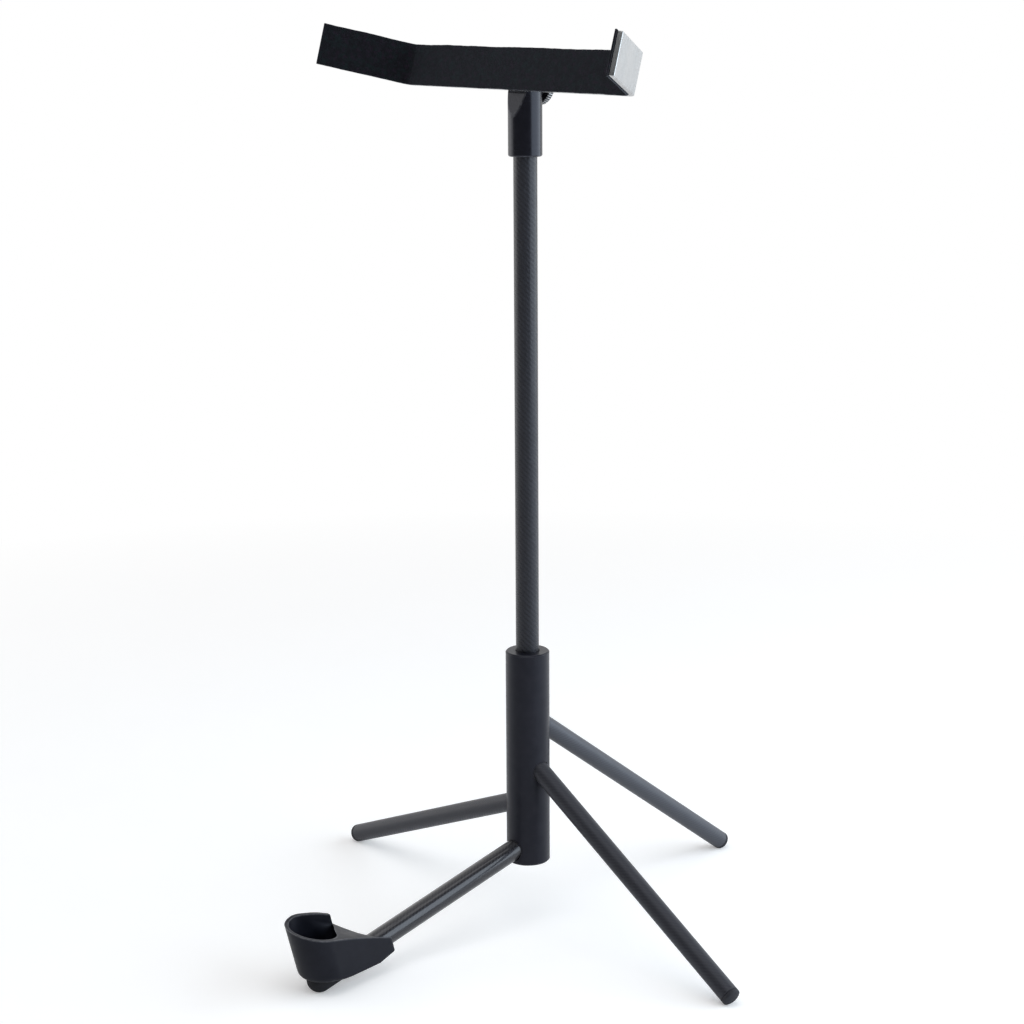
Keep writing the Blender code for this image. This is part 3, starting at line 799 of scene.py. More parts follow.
@dataclass(frozen=True)
class CarbonTube:
    """A plain tube with softened ends."""

    radius: float
    tows: int
    wall: float = 0.0015
    soften: float = 0.0002
    segments: int = 72

    def patch(self, start: float, end: float) -> Patch:
        """The closed wall, whose profile runs out along the skin, back through the bore and out again."""
        inner, middle = self.radius - self.wall, (self.radius, (start + end) / 2)
        corners = [middle, (self.radius, end), (inner, end), (inner, start), (self.radius, start), middle]
        return turned(corners, [0.0, *[self.soften] * 4, 0.0], self.segments, self.tows)


@dataclass(frozen=True)
class HubColumn:
    """The turned column, with a slanting socket for each arm and one for the post."""

    radius: float = 0.019
    bottom: float = 0.054
    top: float = 0.246
    chamfer: float = 0.0011
    margin: float = 0.00035
    soften: float = 0.0002
    rim_soften: float = 0.00015
    floor_soften: float = 0.0003
    post_bore: float = 0.01025
    post_rim: float = 0.0006
    post_floor: float = 0.208
    gap: float = 0.00025
    blind_end: float = -0.0043
    lip: float = 0.0005
    mouth_dip: float = 0.97
    mouth_samples: int = 2881
    window: float = 0.0155
    window_rings: int = 11
    crowding: float = 0.8
    roll_rings: int = 7
    bore_rings: int = 6
    quarter: int = 24
    rows: int = 100
    # How pale the rings that roll over each socket's rim are painted, outside to inside: partly wear, partly painted
    # highlight.
    wear_and_highlight: tuple[float, ...] = (0.2, 0.7, 1.0, 0.8, 0.4, 0.2, 0.0)

    def levels(self) -> Array:
        """The heights of the rings on the plain side."""
        margin = self.chamfer + self.margin
        return np.linspace(self.bottom + margin, self.top - margin, self.rows + 1)

    def on_side(self, along: Array, height: Array, turn: float) -> Array:
        """Points of the side from the distance walked round it and the height."""
        return polar(self.radius, turn + along / self.radius, height) + HUB.origin

    def mouth(self, arm: Arm, spread: Array, center: float) -> tuple[Array, Array]:
        """Where the socket's bore meets the side.

        The bore's wall at an angle f is at bore * cos f across and reaches the side where depth and width together
        make the hub's radius. The angle is then looked up from the direction in which each point is wanted.

        Args:
            arm: the arm in this socket.
            spread: the wanted directions round the mouth's middle.
            center: the height of the mouth's middle.

        Returns:
            Distance round the side, and height.
        """
        bore = arm.radius + self.gap
        angle = np.linspace(-math.tau, math.tau, self.mouth_samples)
        across = bore * np.cos(angle)
        depth = np.sqrt(self.radius**2 - across**2)
        run = (depth - bore * np.sin(angle) * math.sin(arm.tilt)) / math.cos(arm.tilt)
        height = arm.start[2] + bore * np.sin(angle) * math.cos(arm.tilt) - run * math.sin(arm.tilt)
        round_side = self.radius * np.arcsin(across / self.radius)
        heading = np.unwrap(np.arctan2(height - center, round_side)) + angle[0]
        return np.interp(spread, heading, round_side), np.interp(spread, heading, height)

    def quarter_side(self, arm: Arm) -> list[Patch]:
        """A quarter of the side: a window round the arm's socket and plain grids above and below it.

        The window is drawn as rings that change from its straight border to the mouth, roll over the mouth's rim on a
        parabola, run down the bore and close at its blind end.

        Args:
            arm: the arm in this quarter's socket.

        Returns:
            The patches.
        """
        levels, half = self.levels(), self.radius * math.pi / 4
        center = arm.start[2] - self.radius * math.tan(arm.tilt) * self.mouth_dip
        low = max(0, int(np.searchsorted(levels, center - self.window)) - 1)
        high = int(np.searchsorted(levels, center + self.window))
        steps, window = np.linspace(-half, half, self.quarter + 1), levels[low : high + 1]
        sides = (steps[:-1], window[0]), (half, window[:-1]), (steps[:0:-1], window[-1]), (-half, window[::-1])
        border = np.concatenate([np.stack(np.broadcast_arrays(*side), axis=1) for side in sides])
        spread = np.unwrap(np.arctan2(border[:, 1] - center, border[:, 0]))
        edge = np.stack(self.mouth(arm, spread, center), axis=1)
        rim = edge + unit(edge - (0.0, center)) * self.lip
        counts = (self.window_rings, self.roll_rings, self.bore_rings)
        to_rim, roll_in, down = (np.linspace(0.0, 1.0, count)[:, None, None] for count in counts)
        flat = border + (rim - border) * to_rim**self.crowding
        outer = self.on_side(flat[..., 0], flat[..., 1], arm.turn)
        sharp = self.on_side(edge[:, 0], edge[:, 1], arm.turn)
        axis, start = np.array(arm.direction), np.array(arm.start)
        inner = sharp - axis * self.lip
        depth = (inner - start) @ axis - self.blind_end
        bore = inner - down[1:] * depth[:, None] * axis
        pole = np.broadcast_to(start + axis * self.blind_end, inner.shape)
        points = np.concatenate([outer, parabola(outer[-1], sharp, inner, roll_in[1:]), bore, pole[None]])
        # The socket's rim is marked to be painted pale: partly wear, partly painted highlight.
        worn_and_lit = np.zeros(points.shape[:2])
        worn_and_lit[len(outer) - 1 : len(outer) - 1 + len(self.wear_and_highlight)] = np.array(self.wear_and_highlight)[:, None]
        plain = [np.meshgrid(steps, rows) for rows in (levels[: low + 1], levels[high:]) if len(rows) > 1]
        return [grid_patch(points, worn_and_lit), *(grid_patch(self.on_side(*grid, arm.turn)) for grid in plain)]

    def build(self, arms: list[Arm], finishes: Finishes) -> None:
        """Makes the column from four quarters, a top with the post's socket and a bottom.

        Args:
            arms: the arms, one to a quarter.
            finishes: the stand's finishes.
        """
        levels, soft = self.levels(), self.soften
        side, inset, bore = self.radius, self.radius - self.chamfer, self.post_bore
        corners = [(side, levels[-1]), (side, self.top - self.chamfer), (inset, self.top)]
        corners += [(bore + self.post_rim, self.top), (bore, self.top - self.post_rim)]
        corners += [(bore, self.post_floor), (0.0, self.post_floor)]
        top = turned(corners, [0.0, soft, soft, self.rim_soften, soft, self.floor_soften, 0.0], self.quarter * 4)
        low = [(0.0, self.bottom), (inset, self.bottom), (side, self.bottom + self.chamfer), (side, levels[0])]
        patches = [top.put(HUB), turned(low, [0.0, soft, soft, 0.0], self.quarter * 4).put(HUB)]
        for arm in arms:
            patches += self.quarter_side(arm)
        show("hub_column", patches, finishes.column, "hub", "hub")


@dataclass(frozen=True)
class UprightPost:
    """The carbon tube between hub and head."""

    tube: CarbonTube = CarbonTube(0.010, 56)
    bottom: float = 0.2083
    top: float = 0.7077

    def build(self, finishes: Finishes) -> None:
        """Makes the tube."""
        patch = self.tube.patch(self.bottom, self.top).put(HUB)
        show("upright_post", [patch], finishes.post, "post", "post_tube")


@dataclass(frozen=True)
class SlantedHead:
    """The turned head, planed to a slant in front and spot-faced behind."""

    radius: float = 0.01425
    bottom: float = 0.670
    top: float = 0.756
    chamfer: float = 0.0008
    bore: float = 0.01025
    bore_rim: float = 0.0004
    socket: float = 0.038
    spot_depth: float = 0.0185
    spot_radius: float = 0.0145
    core: float = 0.005
    soften: float = 0.0007
    soften_ends: float = 0.0005
    soften_spot: float = 0.0004
    # How pale the head's edges are painted: partly wear, partly painted highlight.
    worn_and_lit: float = 0.9
    around: int = 240
    rows: int = 210
    lid_rings: int = 9

    def build(self, finishes: Finishes) -> None:
        """Makes the head.

        Seen from a line a little behind the axis, the skin in each direction and at each height is the nearest of
        three surfaces: the round side, drawn in at both ends for the chamfers, the slanting plane in front, and the
        plane of the spot face behind. A rounded least joins them.

        Args:
            finishes: the stand's finishes.
        """
        angle = np.linspace(0.0, math.tau, self.around + 1)
        height = np.linspace(self.bottom, self.top, self.rows + 1)[:, None]
        drawn_in = self.radius - self.chamfer + np.minimum(height - self.bottom, self.top - height)
        side, chamfer_edge = soft_least(np.full_like(height, self.radius), drawn_in, self.soften_ends)
        core, forth = HUB_Y + self.core, np.sin(angle)
        lean = self.core * forth
        reach = -lean + np.sqrt(lean**2 + side**2 - self.core**2)
        normal, origin = CLAMP.z_axis, CLAMP.origin
        gap = (core - origin[1]) * normal[1] + (height - origin[2]) * normal[2]
        facing, least = forth * normal[1], 1e-4
        slant = np.where(facing > least, -gap / np.maximum(facing, least), 1.0)
        reach, slant_edge = soft_least(reach, slant, self.soften)
        spot = np.where(facing < -least, (-self.spot_depth - gap) / np.minimum(facing, -least), 1.0)
        up = (core + reach * forth - origin[1]) * CLAMP.y_axis[1] + (height - origin[2]) * CLAMP.y_axis[2]
        off_axis = np.hypot(reach * np.cos(angle), up)
        inside = np.clip((self.spot_radius - off_axis) / self.soften_spot, 0.0, 1.0) * (facing < 0)
        faced, spot_edge = soft_least(reach, np.maximum(spot, 0.001), self.soften_spot)
        reach = reach + (faced - reach) * inside
        points = polar(reach, angle, height) + (0.0, core, 0.0)
        edge = np.maximum(np.maximum(slant_edge, spot_edge * inside), chamfer_edge * np.ones_like(reach)) * self.worn_and_lit
        middle = np.array([0.0, core, self.top])
        lid = middle + (points[-1] - middle) * np.linspace(1.0, 0.0, self.lid_rings)[:, None, None]
        bore, rim, base = self.bore, self.bore_rim, self.bottom
        levels = [(bore + 2 * rim, base), (bore + rim, base), (bore, base + rim)]
        levels += [(bore, base + self.socket), (0.0, base + self.socket)]
        below = np.concatenate([points[:1], rings(levels, angle) + HUB.origin])
        patches = [grid_patch(points, edge), grid_patch(lid), grid_patch(below)]
        show("slanted_head", patches, finishes.head, "head", "head")


@dataclass(frozen=True)
class Cradle:
    """The bent bar and its felt."""

    width: float = 0.034
    thickness: float = 0.0043
    felt: float = 0.0011
    nap: float = 0.0008
    overhang: float = 0.0007
    gap: float = 0.0003
    half_middle: float = 0.1355
    arm: float = 0.0790
    bend: float = math.radians(56.8)
    bend_radius: float = 0.0065
    above_bolt: float = 0.0088
    corner: float = 0.0007
    felt_corner: float = 0.0006
    ragged: float = 0.0004
    pile: float = 0.18
    spacing: float = 0.0022
    corner_rings: int = 5
    face_points: int = 8
    lid_rings: int = 3
    end_clear: float = 1.2
    end_worn: float = 0.3
    far_pace: float = 1.13
    # Each wave of a ragged edge: radians to the metre, phase and share. The far edge's waves are quicker.
    waves: tuple[Triple, ...] = ((61.0, 0.4, 0.45), (143.0, 2.1, 0.3), (367.0, 4.0, 0.2), (911.0, 1.3, 0.15))
    # The felt's face: radians to the metre along and across, for each of two crossing waves.
    pile_waves: tuple[tuple[float, float], ...] = ((233.0, 420.0), (97.0, 310.0))

    def line(self, behind: float, overrun: float) -> tuple[Array, Array, Array]:
        """The strip's line at a distance behind the felt's face.

        From the middle it runs straight, turns on a circle and runs straight again; the left half mirrors the right.

        Args:
            behind: how far behind the felt's face the line lies.
            overrun: how far it runs past the bar's end.

        Returns:
            Its (x, n) points, the directions square to it that point to the felt's face, and the length walked.
        """
        face = 2 * self.gap + self.thickness + self.felt
        tangent = self.bend_radius * math.tan(self.bend / 2)
        radius, straight = self.bend_radius + behind, self.arm - tangent + overrun
        parts = np.array([self.half_middle - tangent, radius * self.bend, straight])
        ends = np.cumsum(parts)
        counts = np.maximum(2, np.round(parts / (self.spacing, self.spacing / 3, self.spacing)).astype(int))
        runs = [np.linspace(*run, count + 1)[:-1] for *run, count in zip(ends - parts, ends, counts)]
        walked = np.concatenate([*runs, ends[-1:]])
        turn = np.clip((walked - ends[0]) / radius, 0.0, self.bend)
        past = np.maximum(walked - ends[1], 0.0)
        x = np.minimum(walked, ends[0]) + radius * np.sin(turn) + past * np.cos(turn)
        n = face + self.bend_radius - radius * np.cos(turn) + past * np.sin(turn)
        halves = np.stack([x, n], axis=1), np.stack([-np.sin(turn), np.cos(turn)], axis=1)
        points, square = (np.concatenate([half[:0:-1] * (-1.0, 1.0), half]) for half in halves)
        return points, square, np.concatenate([-walked[:0:-1], walked])

    def section(self, width: Array, thickness: float, corner: float, inset: Array) -> tuple[Array, Array]:
        """A rounded oblong for every station, drawn in all round by that station's inset.

        Args:
            width: each station's width.
            thickness: the strip's thickness.
            corner: the corners' radius.
            inset: how far each station is drawn in, at most the corner's radius.

        Returns:
            Stations by points by (across, depth), closed, and how much each point is an edge.
        """
        count = self.corner_rings + 1
        quarter = np.linspace(0.0, math.pi / 2, count)
        angle = np.concatenate([quarter + i * math.pi / 2 for i in range(4)])
        sign_across, sign_depth = np.repeat([[1.0, -1.0, -1.0, 1.0], [1.0, 1.0, -1.0, -1.0]], count, axis=1)
        reach = (corner - inset)[:, None]
        across = sign_across * (width[:, None] / 2 - corner) + reach * np.cos(angle)
        depth = sign_depth * (thickness / 2 - corner) + reach * np.sin(angle)
        loop = np.stack([across, depth], axis=-1)
        between = np.linspace(0.0, 1.0, self.face_points + 2)[1:-1, None]
        face, back = (loop[:, [i - 1]] + (loop[:, [i]] - loop[:, [i - 1]]) * between for i in (count, 3 * count))
        first, middle, last = np.split(loop, (count, 3 * count), axis=1)
        bow, flat = np.sin(2 * quarter), np.zeros(self.face_points)
        edge = np.concatenate([bow, flat, bow, bow, flat, bow, bow[:1]])
        return np.concatenate([first, face, middle, back, last, first[:, :1]], axis=1), edge

    def strip(
        self, behind: float, overrun: float, width: float, thickness: float, corner: float, ragged: float = 0.0
    ) -> Patch:
        """A rounded oblong carried along the strip's line, with rounded ends.

        Args:
            behind: how far its middle lies behind the felt's face.
            overrun: how far it runs past the bar's end.
            width: its width.
            thickness: its thickness.
            corner: the radius of its long edges and of its ends.
            ragged: how far its cut edges and its face wander, each as a sum of sines.

        Returns:
            The patch in the clamp's frame.
        """
        line, square, walked = self.line(behind, overrun)
        total = walked[-1]
        lid, ring = self.lid_rings, self.corner_rings
        cap = np.linspace(0.0, math.pi / 2, ring + 1)
        from_end, cap_inset = corner * (1 - np.sin(cap)), corner * (1 - np.cos(cap))
        keep = np.abs(walked) < total - corner * self.end_clear
        stations = np.concatenate([-total + from_end[::-1], walked[keep], total - from_end])
        inset = np.concatenate([cap_inset[::-1], np.zeros(keep.sum()), cap_inset])
        points, square = (
            np.stack([np.interp(stations, walked, values[:, i]) for i in range(2)], axis=1) for values in (line, square)
        )
        wave, phase, size = np.array(self.waves).T
        wander = (np.sin(stations[:, None] * wave + phase) * size).sum(axis=1) * ragged
        far = (np.sin(stations[:, None] * wave * self.far_pace + phase * 2) * size).sum(axis=1) * ragged
        loop, edge = self.section(width + wander - ragged, thickness, corner, inset)
        across = loop[..., 0] + self.above_bolt + (far * 0.5)[:, None]
        (along, over), (back_along, back_over) = self.pile_waves
        pile = np.sin(stations[:, None] * along + across * over)
        pile = pile * np.sin(stations[:, None] * back_along - across * back_over)
        depth = loop[..., 1] + pile * ragged * self.pile * (loop[..., 1] > 0)
        body = points[:, None, :] + unit(square)[:, None, :] * depth[..., None]
        rows = np.stack([body[..., 0], across, body[..., 1]], axis=-1)
        end = rows.mean(axis=1, keepdims=True)
        grow = np.linspace(0.0, 1.0, lid + 1)[:, None, None]
        first, last = (end[i] + (rows[i] - end[i]) * grow for i in (0, -1))
        rows = np.concatenate([first[:-1], rows, last[-2::-1]])
        marks = np.broadcast_to(edge, rows.shape[:2]).copy()
        marks[:lid] = marks[-lid:] = 0.0
        rising = np.linspace(self.end_worn, 1.0, ring)[:, None]
        marks[lid : lid + ring] = np.maximum(marks[lid : lid + ring], rising)
        marks[-lid - ring : -lid] = np.maximum(marks[-lid - ring : -lid], rising[::-1])
        return grid_patch(rows, marks)

    def build(self, finishes: Finishes) -> None:
        """Makes the bar and lays the felt on it.

        Args:
            finishes: the stand's finishes.
        """
        bar = self.strip(self.felt + self.gap + self.thickness / 2, 0.0, self.width, self.thickness, self.corner)
        show("bent_bar", [bar.put(CLAMP)], finishes.aluminium, "cradle", "cradle_bar")
        width, thickness = self.width + 2 * self.overhang, self.felt + self.nap
        behind = (self.felt - self.nap) / 2
        felt = self.strip(behind, self.overhang, width, thickness, self.felt_corner, self.ragged)
        lining = show("felt_strip", [felt.put(CLAMP)], finishes.felt, "cradle", "felt_lining")


@dataclass(frozen=True)
class CradleBolt:
    """The countersunk bolt that holds the bar to the head, with a hexagon in its head."""

    top: float = 0.00445
    end: float = -0.0302
    plain: float = -0.010
    radius: float = 0.003
    head: float = 0.006
    pitch: float = 0.001
    thread: float = 0.00045
    point: float = 0.0009
    point_length: float = 0.0006
    hexagon: float = 0.0023
    hexagon_depth: float = 0.0022
    hexagon_pit: float = 0.0026
    soften: float = 0.0001
    crest: float = 1.2
    segments: int = 48
    rings_to_pitch: int = 8

    def build(self, finishes: Finishes) -> None:
        """Makes the bolt: its thread's radius falls and rises once for each pitch walked round and along.

        Args:
            finishes: the stand's finishes.
        """
        angle, sixth = np.linspace(0.0, math.tau, self.segments + 1), math.pi / 3
        soft, top, rise = self.soften, self.top, self.pitch / self.rings_to_pitch
        height = np.arange(self.end + self.point_length, self.plain, rise)[:, None]
        phase = (height / self.pitch - angle / math.tau) % 1.0
        depth = self.thread * np.abs(phase * 2 - 1) ** self.crest
        thread = self.radius - depth * np.clip((self.plain - height) / self.pitch, 0.0, 1.0)
        hexagon = self.hexagon / np.cos((angle + sixth / 2) % sixth - sixth / 2)
        levels = [(self.radius, self.plain), (self.radius, top - self.head + self.radius)]
        levels += [(self.head - 2 * soft, top - 2 * soft), (self.head - 3 * soft, top), (hexagon + soft, top)]
        levels += [(hexagon, top - soft), (hexagon, top - self.hexagon_depth), (0.0, top - self.hexagon_pit)]
        lower = rings([(0.0, self.end), (self.radius - self.point, self.end)], angle)
        rows = np.concatenate([lower, polar(thread, angle, height), rings(levels, angle)])
        show("cradle_screw", [grid_patch(rows).put(CLAMP)], finishes.steel, "cradle", "cradle_bolt")


@dataclass(frozen=True)
class Clamp:
    """The washer and the knurled thumb nut."""

    hole: float = 0.0033
    washer_radius: float = 0.007
    washer_front: float = -0.0188
    washer_thickness: float = 0.0012
    washer_soften: float = 0.00018
    washer_facets: int = 72
    washer_marks: float = 6.0
    boss: float = 0.0065
    front: float = -0.0203
    disc_front: float = -0.0238
    disc_back: float = -0.0288
    radius: float = 0.013
    ridges: int = 40
    facets: int = 10
    depth: float = 0.0006
    crest: float = 0.8
    rim_drop: float = 0.3
    chamfer: float = 0.0006
    hole_rim: float = 0.0004
    # How near the outer radius the ridge tips are marked for their painted glints.
    rubbed_and_lit: float = 0.0009
    tip: int = 5
    edge_wear_and_glint: float = 0.5
    rim_wear_and_glint: float = 0.4
    soften: tuple[float, ...] = (0.0, 0.0001, 0.0001, 0.0002, 0.0002, 0.0002, 0.0002, 0.0004, 0.0003, 0.0002, 0.0)

    def build(self, finishes: Finishes) -> None:
        """Makes both pieces.

        Args:
            finishes: the stand's finishes.
        """
        back, front = self.washer_front - self.washer_thickness, self.washer_front
        middle = (self.hole, (front + back) / 2)
        corners = [middle, (self.hole, back), (self.washer_radius, back), (self.washer_radius, front)]
        reach = [0.0, *[self.washer_soften] * 4, 0.0]
        washer = turned([*corners, (self.hole, front), middle], reach, self.washer_facets, self.washer_marks)
        show("flat_washer", [washer.put(CLAMP)], finishes.washer, "washer", "clamp_washer")
        show("knurled_nut", [self.nut().put(CLAMP)], finishes.knurl, "nut", "thumb_nut")

    def nut(self) -> Patch:
        """The nut: a turned profile whose rim falls from each ridge into the groove beside it as a cosine does."""
        angle = np.linspace(0.0, math.tau, self.ridges * self.facets + 1)
        ridge = 0.5 + 0.5 * np.cos(angle * self.ridges)
        knurl = self.radius - self.depth * (1 - ridge**self.crest)
        rim = self.radius - self.chamfer - self.depth * self.rim_drop
        inner = (self.hole, (self.front + self.disc_back) / 2)
        levels = [inner, (self.hole, self.disc_back + self.hole_rim), (self.hole + self.hole_rim, self.disc_back)]
        levels += [(rim, self.disc_back), (knurl, self.disc_back + self.chamfer)]
        levels += [(knurl, self.disc_front - self.chamfer), (rim, self.disc_front), (self.boss, self.disc_front)]
        levels += [(self.boss, self.front), (self.hole, self.front), inner]
        points, edge = rounded(rings(levels, angle), list(self.soften))
        # Ridge tips are marked for bright metal, a painted glint; the rounded edges are marked too, partly as wear and
        # partly as painted glint.
        at_rim = np.hypot(points[..., 0], points[..., 1]) > self.radius - self.rubbed_and_lit
        wear_and_highlight = np.where(at_rim, self.edge_wear_and_glint * self.rim_wear_and_glint, self.edge_wear_and_glint)
        return grid_patch(points, np.maximum(edge[:, None] * wear_and_highlight, ridge**self.tip * at_rim))


@dataclass(frozen=True)
class Leg:
    """A thin carbon leg and the rubber foot in its end."""

    side: str
    arm: Arm
    tube: CarbonTube = CarbonTube(0.00825, 56)
    inner_end: float = -0.004
    flange: float = 0.003
    dome: float = 0.0027
    dome_rings: int = 14
    first_ring: int = 4
    soften_steps: int = 6
    spigot: float = 0.014
    gap: float = 0.0003
    soften: tuple[float, ...] = (0.0, 0.0006, 0.0001, 0.0003, 0.0016, 0.0)

    def build(self, finishes: Finishes) -> None:
        """Makes the tube and the foot, whose end is a shallow dome worn flat on the floor.

        Args:
            finishes: the stand's finishes.
        """
        body, place, length = f"{self.side}_leg", self.arm.place, self.arm.length
        radius, base = self.tube.radius, length - self.flange
        end, inner = base - self.gap, radius - self.tube.wall - self.gap
        tube = self.tube.patch(self.inner_end, end).put(place)
        # The rear leg takes the paler copy of the carbon, whose extra lightness is painted light.
        carbon = finishes.lit_rear_leg if self.side == "rear" else finishes.leg
        show(f"{self.side}_tube", [tube], carbon, body, body)
        dome_radius = (radius**2 + self.dome**2) / (2 * self.dome)
        turn = np.linspace(math.asin(radius / dome_radius), 0.0, self.dome_rings)
        tip, ring = length + self.dome, self.first_ring
        domed = np.stack([dome_radius * np.sin(turn), tip - dome_radius * (1 - np.cos(turn))], axis=1)
        corners = [(0.0, end - self.spigot), (inner, end - self.spigot), (inner, base), (radius, base)]
        line, edge = profile([*corners, (radius, length), tuple(domed[ring])], list(self.soften), self.soften_steps)
        line, edge = np.concatenate([line, domed[ring + 1 :]]), np.pad(edge, (0, len(domed) - ring - 1))
        foot = spun(line, edge, self.tube.segments)
        foot = foot.put(place).above_floor()
        show(f"{self.side}_end", [foot], finishes.foot, body, f"{self.side}_foot")


@dataclass(frozen=True)
class CupArm:
    """The thick tube near the floor, its rubber cap, and the moulded cup with its pad.

    Along the cup, s is 0 at the pocket's axis and grows towards the hub. The shelf and the lip follow curves over s.
    """

    arm: Arm
    tube: CarbonTube = CarbonTube(0.009, 60)
    inner_end: float = -0.004
    gap: float = 0.0003
    cap_radius: float = 0.0108
    cap_mouth: float = 0.014
    cap_bore: float = 0.00925
    cap_nose: float = 0.002
    center_reach: float = 0.225
    center_height: float = 0.0114
    radius: float = 0.021
    wall: float = 0.003
    end_s: float = 0.065
    end_half: float = 0.0107
    end_corner: float = 0.0025
    end_blend: float = 0.0035
    floor: float = 0.0132
    shelf: float = 0.0415
    shelf_slope: float = 0.515
    shelf_arch: float = 1.4
    twist_s: tuple[float, ...] = (-0.010, 0.0284, 0.065)
    twist: tuple[float, ...] = (0.20, 0.093, -0.44)
    lift_s: tuple[float, ...] = (-0.0150, -0.0115, -0.0080, -0.0040, 0.0020, 0.0080, 0.0140, 0.0190, 0.0275)
    lift: tuple[float, ...] = (0.0, 0.0004, 0.0015, 0.0031, 0.0050, 0.0067, 0.0082, 0.0091, 0.0097)
    lip_end: float = 0.0275
    underside: float = 0.0125
    heel: float = -0.0112
    # The lower edge is cut back by front_least at the sides and by front_least + front_more in front, and goes
    # from one to the other over front_span along s.
    front_least: float = 0.001
    front_more: float = 0.009
    front_span: float = 0.03
    front_steps: int = 10
    widen_from: float = math.pi / 3
    soften: float = 0.0009
    support: float = 0.0016
    pad: float = 0.002
    under_shares: tuple[float, ...] = (0.02, 0.35, 0.15, 0.0)
    front_points: int = 160
    corner_points: int = 12
    outline_points: int = 281
    corner_samples: int = 4000
    beside_corner: float = 0.001
    nose_rings: int = 20

    @property
    def cup_place(self) -> Place:
        """The cup's frame: x across, s along the arm towards the hub, h square to both."""
        cos, sin = math.cos(self.arm.tilt), math.sin(self.arm.tilt)
        origin = (0.0, HUB_Y - self.center_reach, self.center_height)
        return Place(origin, (1.0, 0.0, 0.0), (0.0, cos, sin), (0.0, -sin, cos))

    def touch(self, inward: float = 0.0) -> float:
        """The angle from +x at which a straight side leaves the front's circle, both drawn in by this much."""
        radius, half = self.radius - inward, self.end_half - inward
        return math.atan2(self.end_s, half) - math.acos(radius / math.hypot(half, self.end_s))

    def outline(self) -> Array:
        """The cup's outline seen along h, as (angle, radius) about the pocket, at even steps along its edge.

        It is a circle in front, two straight sides that touch it, and a narrow end with rounded corners.
        """
        touch, corner = self.touch(), self.end_corner
        front = np.linspace(-math.pi - touch, touch, self.front_points)
        bend = np.linspace(0.0, math.pi / 2, self.corner_points)
        near = (self.end_half - corner, self.end_s - corner) + corner * np.stack([np.cos(bend), np.sin(bend)], axis=1)
        circle = self.radius * np.stack([np.cos(front), np.sin(front)], axis=1)
        loop = np.concatenate([circle, near, near[::-1] * (-1.0, 1.0), circle[:1]])
        walked = walk(loop)
        even = np.linspace(0.0, walked[-1], self.outline_points)
        x, s = (np.interp(even, walked, loop[:, i]) for i in range(2))
        angle = np.unwrap(np.arctan2(s, x))
        extra = (np.array(self.lip_corners())[:, None] + np.array([-1.0, 0.0, 1.0]) * self.beside_corner).ravel()
        extra = angle[0] + np.mod(extra - angle[0], math.tau)
        every = np.unique(np.concatenate([angle[:-1], extra, angle[:1] + math.tau]))
        return np.stack([every, self.out(every)], axis=1)

    def out(self, angle: Array) -> Array:
        """How far the outline lies from the pocket's axis in each direction."""
        touch, forth, across = self.touch(), np.sin(angle), np.abs(np.cos(angle))
        side_way = across * math.cos(touch) + forth * math.sin(touch)
        side = np.where((forth > 0) & (side_way > SMALL), self.radius / np.maximum(side_way, SMALL), 1.0)
        far = np.where(forth > SMALL, self.end_s / np.maximum(forth, SMALL), 1.0)
        on_front = (forth <= 0) | (np.arctan2(forth, across) <= touch)
        return np.where(on_front, self.radius, soft_least(side, far, self.end_blend)[0])

    def lip_line(self, angle: Array) -> Array:
        """How far the lip's inner face lies from the pocket's axis, past where it leaves the pocket."""
        inside, side = self.radius - self.wall, math.pi - self.touch(self.wall)
        past = (np.sin(angle) > 0) & (np.cos(angle) < 0) & (np.mod(angle, math.tau) < side)
        return np.where(past, inside / np.maximum(np.cos(angle - side), 0.05), inside)

    def half_width(self, s: Array) -> Array:
        """How far the straight sides lie from the cup's middle at each place s."""
        start, begin = self.radius * math.cos(self.touch()), self.radius * math.sin(self.touch())
        return start + (self.end_half - start) * np.maximum(0.0, (s - begin) / (self.end_s - begin))

    def shelf_height(self, x: Array, s: Array) -> Array:
        """The shelf: an arched slope along its near edge, plus a cross slope that turns over towards the hub."""
        near = self.shelf - self.shelf_slope * s - self.shelf_arch * s**2
        return near + np.interp(s, self.twist_s, self.twist) * (self.half_width(s) - x)

    def lip_corners(self) -> tuple[float, float]:
        """The directions of the two upright corners where the lip stops, inner and outer."""
        angle = np.linspace(math.pi / 2 + 0.05, math.pi, self.corner_samples)
        cut = self.lip_end / np.sin(angle)
        inner, outer = (angle[np.argmin(np.abs(cut - face(angle)))] for face in (self.lip_line, self.out))
        return float(inner), float(outer)

    def shell(self) -> Patch:
        """The cup as rings about the pocket's axis.

        In each direction the skin climbs from the pocket's round floor to its rim, which widens towards the lip's
        end. It crosses the shelf to the lip's inner face, climbs it, crosses the lip, drops where the lip has ended,
        crosses what is left of the shelf and runs down the outside. The front's lower edge turns in on a wide
        parabola to the underside. Where a piece is missing, its points fall together.

        Returns:
            The patch in the cup's frame.
        """
        angle, out = self.outline().T
        none, inside = 0 * out, np.full_like(out, self.radius - self.wall)
        inner_corner, _ = self.lip_corners()
        wrapped = np.mod(angle + math.pi / 2, math.tau) - math.pi / 2
        lip_side = wrapped >= inner_corner
        reach = self.lip_end / np.sin(inner_corner)
        toward = np.clip((wrapped - self.widen_from) / (inner_corner - self.widen_from), 0.0, 1.0)
        start = np.where(lip_side, self.lip_line(angle), inside + (reach - inside) * toward)
        limit = np.where(np.sin(angle) > 0, self.lip_end / np.maximum(np.sin(angle), SMALL), 1.0)
        stop = np.where(lip_side, np.clip(limit, start, out), out + (reach - out) * toward)
        rim = np.where(lip_side, start, inside + (reach - inside) * toward**3)

